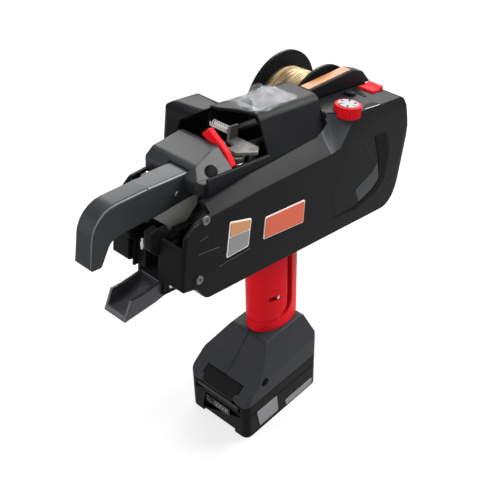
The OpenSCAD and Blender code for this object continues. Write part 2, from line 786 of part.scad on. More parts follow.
contact_rod_len = 20;
module contact(shares, size, at, y) {
    side_prism(scaled(shares, size[0], size[1], at), y, y + contact_w);
    rod_x(y + contact_w / 2, contact_rod_z, at[0] - contact_rod_len, at[0] + overrun, contact_rod_d / 2);
}
module left_contact() {
    color(shell_black)
        in_body()
            contact(left_contact_shares, left_contact_size, left_contact_at, contact_y);
}
module right_contact() {
    color(shell_black)
        in_body()
            contact(right_contact_shares, right_contact_size, right_contact_at, -contact_y - contact_w);
}

// Twister
motor_x = [2, 58];
gearbox_x = [60, 100];
flange_x = [58, 61];
flange_foot = 4;
flange_rise = 22;
flange_z = [flange_foot, twist_z + flange_rise];
hook_x = 148;
hook_size = [21, 8];
hook_t = 2.4;
hook_y = 1.4;
hook_eye = 2;
hook_pin_d = 1.4;
centre_t = 1.8;
clevis_x = [141, 152];
clevis_half = [4.4, 4.6];
clevis_t = 1.4;
module twist_motor() {
    color(dark_steel)
        in_body()
            rod_x(0, twist_z, motor_x[0], flange_x[0], twist_motor_d / 2);
}
module gearbox() {
    color(dark_steel)
        in_body()
            difference() {
                union() {
                    rod_x(0, twist_z, flange_x[0], gearbox_x[1], gearbox_d / 2);
                    block([flange_x[0], -body_right + body_wall, flange_z[0]],
                        [flange_x[1], body_left - body_wall, flange_z[1]]);
                }
                rod_x(0, twist_z, gearbox_x[0], gearbox_x[1] + overrun, shaft_d / 2 + pin_gap);
            }
}
module twist_shaft() {
    color(steel)
        in_body() {
            rod_x(0, twist_z, gearbox_x[0] + run_gap, clevis_x[0] + overrun, shaft_d / 2);
            for (side = [-1, 1]) {
                block([clevis_x[0], -clevis_half[0],
                    twist_z + side * (clevis_half[1] - clevis_t / 2) - clevis_t / 2],
                    [clevis_x[1], clevis_half[0],
                    twist_z + side * (clevis_half[1] - clevis_t / 2) + clevis_t / 2]);
                rod_z(hook_x, side * (hook_y + hook_t / 2), twist_z - clevis_half[1],
                    twist_z + clevis_half[1],
                    hook_pin_d / 2);
            }
            block([clevis_x[0], -centre_t / 2, twist_z - clevis_half[1]],
                [hook_x + hook_size[0], centre_t / 2, twist_z + clevis_half[1]]);
        }
}
module hook(y) {
    difference() {
        side_prism(scaled(hook_shares, hook_size[0], hook_size[1], [hook_x - hook_eye,
            twist_z - hook_size[1] / 2]),
            y, y + hook_t);
        rod_z(hook_x, y + hook_t / 2, 0, body_h, hook_pin_d / 2 + pin_gap);
    }
}
module left_hook() {
    color(steel)
        in_body()
            hook(hook_y);
}
module right_hook() {
    color(steel)
        in_body()
            hook(-hook_y - hook_t);
}

// Cutter
cutter_lead = 8;
cutter_x = arm_root + cutter_lead;
cutter_d = 8;
cutter_drop = 31;
cutter_z = body_h - cutter_drop;
blade_gap = 11.5;
blade_size = [6, cutter_z - twist_z - shaft_d / 2 - blade_gap];
blade_ring = 2.6;
module fixed_cutter() {
    color(dark_steel)
        in_body()
            rod_y(cutter_x, cutter_z, -plate_y, plate_y, cutter_d / 2);
}
module cutter_blade() {
    color(steel)
        in_body()
            difference() {
                union() {
                    rod_y(cutter_x, cutter_z, -plate_y + run_gap, plate_y - run_gap,
                        cutter_d / 2 + blade_ring);
                    block([cutter_x - blade_size[0] / 2, -plate_y + run_gap, cutter_z - blade_size[1]],
                        [cutter_x + blade_size[0] / 2, plate_y - run_gap, cutter_z]);
                }
                rod_y(cutter_x, cutter_z, -arm_w, arm_w, cutter_d / 2 + pin_gap);
            }
}

// Wire feed
feed_drop = 36;
feed_t = 3;
feed_z = [body_h - feed_drop, body_h - feed_drop + feed_t];
feed_setback = 15;
feed_x = boss_rear - feed_setback;
feed_y = feed_gear_d / 2 + run_gap;
spur_lift = 1.5;
spur_z = feed_z[1] + spur_lift;
spur_t = 3.5;
roller_lift = 2;
roller_z = spur_z + spur_t + roller_lift;
spur_teeth = 36;
pinion_teeth = 25;
mesh_depth = 0.6;
gear_reach = norm([cover_at[0] - feed_x, cover_at[1] + feed_y]) + mesh_depth;
spur_d = gear_reach * 2 * spur_teeth / (spur_teeth + pinion_teeth);
pinion_d = gear_reach * 2 * pinion_teeth / (spur_teeth + pinion_teeth);
mesh_turn = heading(cover_at - [feed_x, -feed_y]);
axle_d = 5;
roller_teeth = 28;
tooth_depth = 1.2;
groove_d = 2.4;
bracket_pin = [74, 17];
bracket_pin_d = 6;
bracket_lift = 1.5;
bracket_t = 2.5;
bracket_z = [roller_z + feed_gear_w + bracket_lift, roller_z + feed_gear_w + bracket_lift + bracket_t];
feed_base_x = [61, arm_root - run_gap];
module feed_base() {
    color(dark_steel)
        in_body()
            difference() {
                union() {
                    block([feed_base_x[0], -body_right + body_wall, feed_z[0]],
                        [feed_base_x[1], hood_left - body_wall, feed_z[1]]);
                    rod_z(bracket_pin[0], bracket_pin[1], feed_z[1] - overrun, bracket_z[1],
                        bracket_pin_d / 2);
                    rod_z(feed_x, -feed_y, feed_z[1] - overrun, roller_z + feed_gear_w + tooth_depth,
                        axle_d / 2);
                    rod_z(feed_x, -feed_y, feed_z[1] - overrun, spur_z - run_gap, axle_d);
                    block([feed_base_x[0], -body_right + body_wall, twist_z + gearbox_d / 2 + fit_gap],
                        [feed_base_x[0] + plate_t, hood_left - body_wall, feed_z[0] + overrun]);
                }
                rod_z(cover_at[0], cover_at[1], 0, hood_top, cover_r - hood_wall + fit_gap);
            }
}
module feed_motor() {
    color(dark_steel)
        in_body() {
            rod_z(cover_at[0], cover_at[1], cover_low + hood_wall, feed_z[0], feed_motor_d / 2);
            rod_z(cover_at[0], cover_at[1], feed_z[0] - overrun, feed_z[1], cover_r - hood_wall);
        }
}
module wheel(at, tip, teeth, z0, z1, phase = 0) {
    translate([at[0], at[1], z0])
        rotate([0, 0, phase])
            linear_extrude(z1 - z0)
                polygon(gear(tip, teeth, tooth_depth));
}
module feed_pinion() {
    color(steel)
        in_body() {
            wheel(cover_at, pinion_d / 2, pinion_teeth, spur_z, spur_z + spur_t,
                mesh_turn + 180 + 180 / pinion_teeth);
            rod_z(cover_at[0], cover_at[1], feed_z[1] + run_gap, spur_z + overrun, axle_d / 2);
        }
}
// Grooved feed gear on its axle, with the pieces that turn with it
module feed_gear(y) {
    difference() {
        union() {
            wheel([feed_x, y], feed_gear_d / 2, roller_teeth, roller_z, roller_z + feed_gear_w);
            children();
        }
        translate([feed_x, y, roller_z + feed_gear_w / 2])
            rotate_extrude()
                translate([feed_gear_d / 2, 0])
                    circle(d = groove_d, $fn = 16);
        rod_z(feed_x, y, 0, hood_top, axle_d / 2 + pin_gap);
    }
}
module right_feed_gear() {
    color(steel)
        in_body()
            feed_gear(-feed_y) {
                wheel([feed_x, -feed_y], spur_d / 2, spur_teeth, spur_z, spur_z + spur_t, mesh_turn);
                rod_z(feed_x, -feed_y, spur_z + overrun, roller_z + overrun, axle_d);
            }
}
module left_feed_gear() {
    color(steel)
        in_body()
            feed_gear(feed_y);
}
spring_lift = 6;
spring_x = 73;
spring_at = [spring_x, bracket_z[1] + spring_lift];
spring_y = [-28, -8];
axle_head = 1.2;
bracket_edge = 4;
spring_plate_share = 0.7;
module gear_bracket() {
    color(steel)
        in_body() {
            difference() {
                union() {
                    plan_prism([[spring_at[0] - spring_d, spring_y[1]], [spring_at[0] + spring_d / 2,
                        spring_y[1]],
                        [feed_x - axle_d, feed_y - axle_d], [feed_x + bracket_edge, feed_y - axle_d],
                        [feed_x + bracket_edge, feed_y + axle_d], [bracket_pin[0],
                        bracket_pin[1] + bracket_pin_d],
                        [spring_at[0] - spring_d, bracket_pin[1]]], bracket_z[0], bracket_z[1]);
                    block([spring_at[0] - spring_d, spring_y[1], bracket_z[0]],
                        [spring_at[0] + spring_d / 2, spring_y[1] + plate_t,
                        spring_at[1] + spring_d * spring_plate_share]);
                }
                rod_z(bracket_pin[0], bracket_pin[1], feed_z[0], hood_top, bracket_pin_d / 2 + pin_gap);
            }
            rod_z(feed_x, feed_y, roller_z - run_gap - axle_head, bracket_z[0] + overrun, axle_d / 2);
            rod_z(feed_x, feed_y, roller_z - run_gap - axle_head, roller_z - run_gap,
                axle_d / 2 + axle_head);
        }
}
lever_x = [94.4, 99.6];
lever_drop = 9;
lever_pivot = [3.5, body_h - lever_drop];
lever_head = 1.8;
lever_half = 17;
lever_mid_y = 3;
lever_foot = 13;
lever_tall = 24;
lever_z = [lever_pivot[1] - lever_foot, lever_pivot[1] - lever_foot + lever_tall];
lever_pin_d = 3;
lever_round = 1.7;
module release_lever() {
    color(tool_red)
        in_body()
            difference() {
                cross_prism(rounded([for (s = lever_shares) [lever_mid_y + s[0] * lever_half,
                    lever_z[0] + s[1] * (lever_z[1] - lever_z[0])]], [for (s = lever_shares) lever_round]),
                    lever_x[0], lever_x[1]);
                rod_x(lever_pivot[0], lever_pivot[1], lever_x[0] - overrun, lever_x[1] + overrun,
                    lever_pin_d / 2 + pin_gap);
            }
}
curl_rings = 8;
spring_mid_r = spring_d / 2 - spring_wire / 2;
spring_from = spring_y[0] + run_gap + spring_wire;
spring_pitch = (spring_y[1] - run_gap - spring_wire - spring_from) / spring_curls;
function spring_pt(i, y) = [spring_at[0] + spring_mid_r * cos(360 * i / curl_rings), y,
    spring_at[1] + spring_mid_r * sin(360 * i / curl_rings)];
spring_curl_pts = [for (i = [0 : spring_curls * curl_rings]) spring_pt(i,
    spring_from + spring_pitch * i / curl_rings)];
spring_pts = concat([spring_pt(-0.5, spring_y[0] + run_gap)], spring_curl_pts,
    [spring_pt(spring_curls * curl_rings + 0.5, spring_y[1] - run_gap)]);
module feed_spring() {
    color(steel)
        in_body()
            tube(spring_pts, [for (p = spring_pts) [p[0] - spring_at[0], 0, p[2] - spring_at[1]]],
                spring_wire / 2);
}
inlet_x = [8, 60];
inlet_d = 8;
inlet_bore_d = 4;
inlet_z = roller_z + feed_gear_w / 2;
module wire_inlet() {
    color(dark_steel)
        in_body()
            difference() {
                union() {
                    rod_x(0, inlet_z, inlet_x[0], inlet_x[1] + inlet_d, inlet_d / 2);
                    block([feed_base_x[0], -inlet_d / 2, feed_z[1]], [feed_base_x[0] + inlet_d / 2,
                        inlet_d / 2, inlet_z]);
                }
                rod_x(0, inlet_z, inlet_x[0] - overrun, inlet_x[1] + inlet_d * 2, inlet_bore_d / 2);
            }
}

// Reel
reel_gap = 1.5;
reel_in = -guard_w - reel_gap;
reel_out = reel_in - reel_w;
flange_t = 2.6;
hub_wall = 4;
module reel_spindle() {
    color(dark_steel) {
        in_body()
            difference() {
                union() {
                    rod_y(reel_at[0], reel_at[1], reel_out - run_gap, -body_wall, spindle_d / 2);
                    block([reel_at[0] - stop_w / 2 - fork_t, reel_out - run_gap - stop_w,
                        reel_at[1] - stop_w / 2],
                        [reel_at[0] + stop_w / 2 + fork_t, reel_out - run_gap + overrun,
                        reel_at[1] + stop_w / 2]);
                }
                block([reel_at[0] - stop_w / 2 - run_gap, reel_out - stop_w * 2, reel_at[1] - stop_w],
                    [reel_at[0] + stop_w / 2 + run_gap, reel_out - run_gap * 2, reel_at[1] + stop_w]);
            }
        in_body()
            rod_x(stop_y, reel_at[1], reel_at[0] - stop_w / 2 - fork_t, reel_at[0] + stop_w / 2 + fork_t,
                stop_pin_d / 2);
    }
}
stop_w = 6;
stop_len = 26;
stop_t = 4;
fork_t = 2;
stop_pin_d = 2;
stop_y = reel_out - run_gap - stop_w / 2;
module reel_stopper() {
    color(tool_red)
        in_body()
            difference() {
                union() {
                    block([reel_at[0] - stop_w / 2, stop_y - stop_t / 2, reel_at[1]],
                        [reel_at[0] + stop_w / 2, stop_y + stop_t / 2, reel_at[1] + stop_len]);
                    rod_x(stop_y, reel_at[1], reel_at[0] - stop_w / 2, reel_at[0] + stop_w / 2, stop_t / 2);
                }
                rod_x(stop_y, reel_at[1], reel_at[0] - stop_w, reel_at[0] + stop_w,
                    stop_pin_d / 2 + pin_gap);
            }
}
module flange(y) {
    difference() {
        rod_y(reel_at[0], reel_at[1], y, y + flange_t, reel_d / 2);
        rod_y(reel_at[0], reel_at[1], y - overrun, y + flange_t + overrun, spindle_d / 2 + hub_wall);
    }
}
module left_flange() {
    color(shell_black)
        in_body()
            flange(reel_in - flange_t);
}
module right_flange() {
    color(shell_black)
        in_body()
            flange(reel_out);
}
module reel_hub() {
    color(shell_black)
        in_body()
            difference() {
                rod_y(reel_at[0], reel_at[1], reel_out, reel_in, spindle_d / 2 + hub_wall);
                rod_y(reel_at[0], reel_at[1], reel_out - overrun, reel_in + overrun,
                    spindle_d / 2 + pin_gap);
            }
}
module wound_core() {
    color(wire_colour)
        in_body()
            difference() {
                rod_y(reel_at[0], reel_at[1], reel_out + flange_t, reel_in - flange_t,
                    wound_d / 2 - wire_d - run_gap);
                rod_y(reel_at[0], reel_at[1], reel_out, reel_in, spindle_d / 2 + hub_wall);
            }
}
loop_rings = 24;
wound_r = wound_d / 2 - wire_d / 2;
wound_span = reel_w - flange_t * 2 - run_gap * 2 - wire_d;
wire_pts = [for (i = [0 : wire_loops * loop_rings])
    [reel_at[0] + wound_r * cos(360 * i / loop_rings),
        reel_out + flange_t + run_gap + wire_d / 2 + wound_span * i / (wire_loops * loop_rings),
        reel_at[1] + wound_r * sin(360 * i / loop_rings)]];
module wound_wire() {
    color(wire_colour)
        in_body()
            tube(wire_pts, [for (p = wire_pts) [0, 1, 0]], wire_d / 2);
}
echo(spring_least_gap = least_gap(spring_pts, curl_rings / 2, spring_wire));
echo(wire_least_gap = least_gap(wire_pts, loop_rings / 2, wire_d));

// Controls on the deck
dial_flutes = 26;
flute_depth = 0.7;
cap_inset = 2.6;
cap_t = 0.8;
stem_len = 14;
module dial() {
    color(tool_red)
        in_body()
            translate([dial_at[0], dial_at[1], body_h - dial_sink + run_gap])
                union() {
                    linear_extrude(dial_h)
                        polygon(gear(dial_d / 2, dial_flutes, flute_depth));
                    translate([0, 0, -stem_len])
                        cylinder(h = stem_len + overrun, d = dial_stem_d);
                }
}
module dial_cap() {
    color(pale)
        in_body()
            translate([dial_at[0], dial_at[1], body_h - dial_sink + run_gap + dial_h])
                cylinder(h = cap_t, d = dial_d - cap_inset * 2);
}
rocker_h = 4;
rocker_dip_share = 0.3;
module rocker_switch() {
    color(tool_red)
        in_body() {
            rod_y(rocker_at[0], body_h - body_wall / 2,
                rocker_at[1] - rocker_w / 2 - rocker_pin[1] + run_gap,
                rocker_at[1] + rocker_w / 2 + rocker_pin[1] - run_gap, rocker_pin[0] / 2);
            side_prism(rounded([[rocker_at[0] - rocker_len / 2, body_h - rocker_pocket],
                [rocker_at[0] + rocker_len / 2, body_h - rocker_pocket],
                [rocker_at[0] + rocker_len / 2, body_h + rocker_h / 2], [rocker_at[0],
                    body_h + rocker_h * rocker_dip_share],
                [rocker_at[0] - rocker_len / 2, body_h + rocker_h]], [rocker_h / 2, rocker_h / 2,
                rocker_h / 4, 0,
                rocker_h / 4]), rocker_at[1] - rocker_w / 2, rocker_at[1] + rocker_w / 2);
        }
}
button_h = 2.4;
button_rim = 1.2;
module push_button() {
    color(shell_black)
        in_body() {
            rod_z(button_at[0], button_at[1], body_h - stem_len, body_h + button_h, button_d / 2);
            rod_z(button_at[0], button_at[1], body_h - body_wall - run_gap - button_rim,
                body_h - body_wall - run_gap,
                button_d / 2 + button_rim);
        }
}
module circuit_board() {
    color(board_green)
        in_body()
            block([board_at[0] - board_size[0] / 2, board_y, board_at[1]],
                [board_at[0] + board_size[0] / 2, board_y + board_t, board_at[1] + board_size[1]]);
}

// Grip and trigger
grip_oval = [for (p = ellipse(grip_depth / 2, grip_w / 2)) p + [-grip_back, 0]];
grip_core = [for (p = ellipse(grip_depth / 2 - grip_wall, grip_w / 2 - grip_wall)) p + [-grip_back, 0]];
trigger_rear = -grip_back + grip_depth / 2 - trigger_depth;
grip_face = trigger_rear - pull_gap;
collar_h = 12;
trigger_gap = 0.6;
trigger_z = grip_z + collar_h + trigger_gap;
trigger_round = 15;
neck_z = trigger_z + trigger_h + trigger_gap;
neck_len = 14;
neck_split = grip_face + neck_len;
pin_d = 4;
pin_z = 124;
slot_len = 12;
stem_d = 7;
stem_z = 150;
switch_size = [11, 14, 34];
tongue_w = 10;
tongue_h = 14;
grip_reach_share = 1.3;
grip_reach = grip_len * grip_reach_share;
pin_x = trigger_rear + pull_gap + pin_d / 2 + run_gap;
// Room of the trigger ahead of x, round at its lower rear corner
module trigger_way(x, z0, z1) {
    side_prism(rounded([[x, z0], [body_span, z0], [body_span, z1], [x, z1]], [trigger_round, 0, 0, 0]),
        -grip_w, grip_w);
}
module grip_form() {
    difference() {
        union() {
            difference() {
                plan_prism(grip_oval, grip_z, grip_z + grip_reach);
                trigger_way(grip_face, trigger_z - trigger_gap, neck_z);
                block([neck_split, -grip_w, neck_z - overrun], [body_span, grip_w, body_span]);
            }
            block([grip_face - overrun, -tongue_w / 2, pin_z - tongue_h / 2],
                [pin_x + pin_d, tongue_w / 2, pin_z + tongue_h / 2]);
        }
        difference() {
            plan_prism(grip_core, grip_z - overrun, grip_z + grip_reach + overrun);
            block([grip_face - grip_wall, -grip_w, trigger_z - trigger_gap - grip_wall],
                [body_span, grip_w, neck_z + grip_wall]);
        }
        rod_x(0, stem_z, grip_face - grip_wall - overrun, body_span, stem_d / 2 + run_gap);
        rod_y(pin_x, pin_z, -grip_w, grip_w, pin_d / 2 + pin_gap);
        in_body()
            block([-body_span, -body_span, 0], [body_span, body_span, body_span]);
    }
}
module left_grip_shell() {
    color(tool_red)
        intersection() {
            grip_form();
            block([-body_span, 0, 0], [body_span, body_span, body_span]);
        }
}
module right_grip_shell() {
    color(tool_red)
        intersection() {
            grip_form();
            block([-body_span, -body_span, 0], [body_span, 0, body_span]);
        }
}
module trigger() {
    color(tool_red)
        union() {
            difference() {
                intersection() {
                    plan_prism(grip_oval, trigger_z, trigger_z + trigger_h);
                    trigger_way(trigger_rear, trigger_z, trigger_z + trigger_h);
                }
                plan_prism(grip_core, trigger_z + grip_wall, trigger_z + trigger_h - grip_wall);
                side_prism(rounded([for (p = [[0, -1], [1, -1], [1, 1], [0, 1]])
                    [trigger_rear + pull_gap + p[0] * slot_len, pin_z + p[1] * (pin_d / 2 + run_gap)]],
                    [for (i = [0 : 3]) pin_d / 2]), -grip_w, grip_w);
            }
            rod_x(0, stem_z, grip_face - grip_wall, -grip_back + grip_depth / 2 - grip_wall / 2,
                stem_d / 2);
        }
}
module trigger_neck() {
    color(shell_black)
        difference() {
            intersection() {
                plan_prism(grip_oval, neck_z, grip_z + grip_reach);
                block([neck_split, -grip_w, 0], [body_span, grip_w, body_span]);
            }
            in_body()
                block([-body_span, -body_span, 0], [body_span, body_span, body_span]);
        }
}
module trigger_pin() {
    color(steel)
        rod_y(pin_x, pin_z, -grip_w / 2 + grip_wall / 2, grip_w / 2 - grip_wall / 2, pin_d / 2);
}
module trigger_switch() {
    color(shell_black)
        difference() {
            block([grip_face - grip_wall - switch_size[0], -switch_size[1] / 2,
                stem_z - switch_size[2] / 2],
                [grip_face - grip_wall, switch_size[1] / 2, stem_z + switch_size[2] / 2]);
            rod_x(0, stem_z, grip_face - grip_wall - pull_gap - overrun, body_span, stem_d / 2 + run_gap);
        }
}

// Foot
foot_back = foot_len / 2;
foot_side = outline(foot_shares, foot_len, foot_h, [-foot_back, foot_z]);
rail_w = 3;
rail_lift = 8;
rail_gap = 0.9;
foot_screw_d = 10;
foot_screw_setback = 26;
foot_screw_lift = 17;
foot_screw_at = [foot_back - foot_screw_setback, foot_z + foot_screw_lift];
foot_screw_depth = 9;
foot_screw_head = 2.4;
module foot_form() {
    difference() {
        intersection() {
            side_prism(foot_side, -foot_w / 2, foot_w / 2);
            cross_prism(outline(foot_cross_shares, foot_w / 2, foot_h, [0, foot_z]), -foot_len, foot_len);
            plan_prism(rounded([[-foot_back, -foot_w / 2], [foot_back, -foot_w / 2], [foot_back,
                foot_w / 2],
                [-foot_back, foot_w / 2]], [for (i = [0 : 3]) battery_r]), 0, body_rise);
        }
        difference() {
            intersection() {
                side_prism(inset(foot_side, foot_wall), -foot_w, foot_w);
                cross_prism(inset(scaled(foot_cross_shares, foot_w / 2, foot_h, [0, foot_z]),
                    foot_wall), -foot_len,
                    foot_len);
                block([-body_span, -body_span, foot_z + rail_lift], [body_span, body_span,
                    grip_z - foot_wall]);
            }
            for (side = [0, 1])
                mirror([0, side, 0])
                    rod_y(foot_screw_at[0], foot_screw_at[1], foot_w / 2 - foot_screw_depth - foot_wall,
                        foot_w,
                        foot_screw_d / 2 + foot_wall);
        }
        block([-foot_back + foot_wall, -tower_w / 2 - run_gap, foot_z - overrun],
            [foot_len, tower_w / 2 + run_gap, foot_z + rail_lift + overrun]);
        block([foot_back - foot_len / 3, -tower_w / 2 - rail_w - run_gap * 2, foot_z + rail_lift],
            [foot_len, tower_w / 2 + rail_w + run_gap * 2, foot_z + tower_h + run_gap]);
        translate([0, 0, grip_z - foot_wall - overrun])
            linear_extrude(foot_wall + overrun * 2)
                polygon([for (p = ellipse(grip_depth / 2 - grip_wall * 2,
                    grip_w / 2 - grip_wall)) p + [-grip_back, 0]]);
        for (side = [0, 1])
            mirror([0, side, 0])
                rod_y(foot_screw_at[0], foot_screw_at[1], foot_w / 2 - foot_screw_depth, foot_w,
                    foot_screw_d / 2 + fit_gap);
    }
}
module left_foot_shell() {
    color(shell_black)
        intersection() {
            foot_form();
            block([-body_span, 0, 0], [body_span, body_span, body_span]);
        }
}
module right_foot_shell() {
    color(shell_black)
        intersection() {
            foot_form();
            block([-body_span, -body_span, 0], [body_span, 0, body_span]);
        }
}
module foot_screws() {
    color(steel)
        for (side = [0, 1])
            mirror([0, side, 0])
                rod_y(foot_screw_at[0], foot_screw_at[1], foot_w / 2 - foot_screw_depth,
                    foot_w / 2 - foot_screw_depth + foot_screw_head, foot_screw_d / 2);
}
blade_t = 1.2;
blade_y = 9;
blade_len = 20;
module terminal_block() {
    color(shell_black) {
        block([-foot_back + foot_wall, -tower_w / 2, foot_z + rail_lift],
            [-foot_back + foot_wall + tower_h, tower_w / 2, foot_z + tower_h + foot_wall * 2]);
        for (y = [-blade_y, 0, blade_y])
            block([-foot_back + foot_wall + tower_h - overrun, y - blade_t / 2, foot_z + rail_lift],
                [-foot_back + foot_wall + tower_h + blade_len, y + blade_t / 2, foot_z + tower_h]);
    }
}

// Battery
tower_x = [-foot_back + foot_wall + tower_h + run_gap, battery_len / 2];
notch_h = 4;
seam = 0.6;
seam_h = 1.2;
battery_plan = rounded([[-battery_len / 2, -battery_w / 2], [battery_len / 2, -battery_w / 2],
    [battery_len / 2, battery_w / 2], [-battery_len / 2, battery_w / 2]], [for (i = [0 : 3]) battery_r]);
battery_seam = rounded(inset([[-battery_len / 2, -battery_w / 2], [battery_len / 2, -battery_w / 2],
    [battery_len / 2, battery_w / 2], [-battery_len / 2, battery_w / 2]], seam),
    [for (i = [0 : 3]) battery_r]);
gauge_size = [30, 9];
gauge_z = 18;
gauge_t = 0.8;
gauge_button_d = 6;
gauge_button_y = -10;
gauge_button_len = 5;
module lower_case() {
    color(shell_black)
        difference() {
            union() {
                plan_prism(battery_plan, 0, case_split - seam_h);
                plan_prism(battery_seam, case_split - seam_h - overrun, case_split);
            }
            block([battery_len / 2 - notch_h, -notch_w / 2, -overrun], [battery_len, notch_w / 2, notch_h]);
            block([battery_len / 2 - gauge_t / 2, -gauge_size[0] / 2, gauge_z],
                [battery_len, gauge_size[0] / 2, gauge_z + gauge_size[1]]);
            gauge_bore(run_gap);
        }
}
module gauge_bore(gap) {
    rod_x(gauge_button_y, gauge_z + gauge_size[1] / 2, battery_len / 2 - gauge_button_len - gap,
        battery_len,
        gauge_button_d / 2 + gap);
}
latch_len = 8;
latch_w = 52;
latch_h = 4.6;
latch_drop = 1.2;
latch_travel = 3;
latch_top = battery_h - latch_drop;
module upper_case() {
    color(shell_black)
        difference() {
            union() {
                plan_prism(battery_plan, case_split, battery_h);
                block([tower_x[0], -tower_w / 2, battery_h - overrun], [tower_x[1], tower_w / 2,
                    foot_z + overrun]);
                intersection() {
                    union() {
                        block([tower_x[0], -tower_w / 2, battery_h], [tower_x[1], tower_w / 2,
                            battery_h + tower_h]);
                        block([tower_x[0], -tower_w / 2 - rail_w, battery_h + rail_lift + rail_gap],
                            [tower_x[1], tower_w / 2 + rail_w, battery_h + tower_h]);
                    }
                    side_prism(foot_side, -foot_w, foot_w);
                }
            }
            for (y = [-blade_y, 0, blade_y])
                block([tower_x[0] - overrun, y - blade_t / 2 - run_gap, battery_h + rail_lift - run_gap],
                    [tower_x[0] + blade_len + overrun, y + blade_t / 2 + run_gap,
                    battery_h + tower_h + overrun]);
            block([battery_len / 2 - latch_len - latch_travel, -latch_w / 2 - run_gap,
                latch_top - latch_h - run_gap],
                [battery_len, latch_w / 2 + run_gap, latch_top + run_gap]);
        }
}
module battery_latch() {
    color(light_grey)
        block([battery_len / 2 - latch_len, -latch_w / 2, latch_top - latch_h],
            [battery_len / 2 + run_gap, latch_w / 2, latch_top]);
}
module gauge_panel() {
    color(light_grey)
        difference() {
            block([battery_len / 2 - gauge_t / 2, -gauge_size[0] / 2 + fit_gap, gauge_z + fit_gap],
                [battery_len / 2 + gauge_t / 2, gauge_size[0] / 2 - fit_gap,
                gauge_z + gauge_size[1] - fit_gap]);
            gauge_bore(run_gap);
        }
}
gauge_press = 1;
module gauge_button() {
    color(light_grey)
        rod_x(gauge_button_y, gauge_z + gauge_size[1] / 2, battery_len / 2 - gauge_button_len + gauge_press,
            battery_len / 2 + gauge_t / 2 + gauge_press, gauge_button_d / 2);
}

left_body_shell();
right_body_shell();
hood();
front_boss();
reel_guard();
feed_motor_cover();
wire_arm();
curl_liner();
arm_screws();
nose_plates();
front_cover();
guide_pin();
lower_guide();
left_contact();
right_contact();
body_screws();
twist_motor();
gearbox();
twist_shaft();
left_hook();
right_hook();
fixed_cutter();
cutter_blade();
feed_base();
feed_motor();
feed_pinion();
right_feed_gear();
left_feed_gear();
gear_bracket();
release_lever();
feed_spring();
wire_inlet();
clear_cover();
reel_spindle();
reel_hub();
left_flange();
right_flange();
wound_core();
wound_wire();
reel_stopper();
dial();
dial_cap();
rocker_switch();
push_button();
circuit_board();
left_grip_shell();
right_grip_shell();
trigger_neck();
trigger();
trigger_pin();
trigger_switch();
left_foot_shell();
right_foot_shell();
foot_screws();
terminal_block();
lower_case();
upper_case();
battery_latch();
gauge_panel();
gauge_button();
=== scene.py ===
"""Looks of a battery rebar tying tool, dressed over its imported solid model.

The tool's body is pitched nose-up on its grip, so places on it are given in the body's own frame:
fore towards the jaw, left, and up from the body's flat underside. All lengths are in metres.
"""
import json
import math

import bmesh
import bpy
from bpy.props import FloatProperty, FloatVectorProperty, IntProperty, PointerProperty
from bpy.types import Operator, Panel, PropertyGroup
from mathutils import Matrix, Vector, noise


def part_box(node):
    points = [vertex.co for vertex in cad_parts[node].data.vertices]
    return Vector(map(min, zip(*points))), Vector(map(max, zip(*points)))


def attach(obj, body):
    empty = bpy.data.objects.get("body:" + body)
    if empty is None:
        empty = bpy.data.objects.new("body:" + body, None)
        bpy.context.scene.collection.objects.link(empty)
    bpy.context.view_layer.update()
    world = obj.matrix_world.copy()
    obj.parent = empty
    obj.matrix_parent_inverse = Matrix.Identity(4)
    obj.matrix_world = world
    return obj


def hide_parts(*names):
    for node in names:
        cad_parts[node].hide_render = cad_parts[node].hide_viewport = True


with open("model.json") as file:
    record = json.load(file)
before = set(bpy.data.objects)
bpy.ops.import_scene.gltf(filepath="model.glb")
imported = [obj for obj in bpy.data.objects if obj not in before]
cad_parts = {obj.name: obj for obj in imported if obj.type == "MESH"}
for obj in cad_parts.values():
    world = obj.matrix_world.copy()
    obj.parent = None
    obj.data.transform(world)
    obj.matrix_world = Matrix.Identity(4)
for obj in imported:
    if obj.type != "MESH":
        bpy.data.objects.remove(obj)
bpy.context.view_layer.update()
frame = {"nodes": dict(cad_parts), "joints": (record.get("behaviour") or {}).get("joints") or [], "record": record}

bl_info = {
    "name": "Rebar tying tool",
    "version": (1, 0, 0),
    "blender": (4, 5, 0),
    "location": "3D View > Sidebar > Tying Tool",
    "description": "Dresses the solid model of a battery rebar tying tool",
    "category": "Add Mesh",
}

JOINTS = {joint["name"]: joint for joint in frame["joints"]}

# The body's frame, from the axes that the joints give
FORE = Vector(JOINTS["twister_spin"]["axis"])
UP = Vector(JOINTS["dial_turn"]["axis"])
LEFT = Vector((0, 1, 0))
DIAL_AT = Vector((-0.026, 0.031, 0.112))
BODY_ORIGIN = (Vector(JOINTS["dial_turn"]["pos_m"])
               - FORE * DIAL_AT.x - LEFT * DIAL_AT.y - UP * DIAL_AT.z)
BODY = Matrix.Translation(BODY_ORIGIN) @ Matrix((FORE, LEFT, UP)).transposed().to_4x4()
GROUND = Matrix.Identity(4)
# The body's flat left side, and the way across the tool
BODY_SIDE_Y = 0.042
ACROSS = (0, 1, 0)

FULL_TURN = math.tau


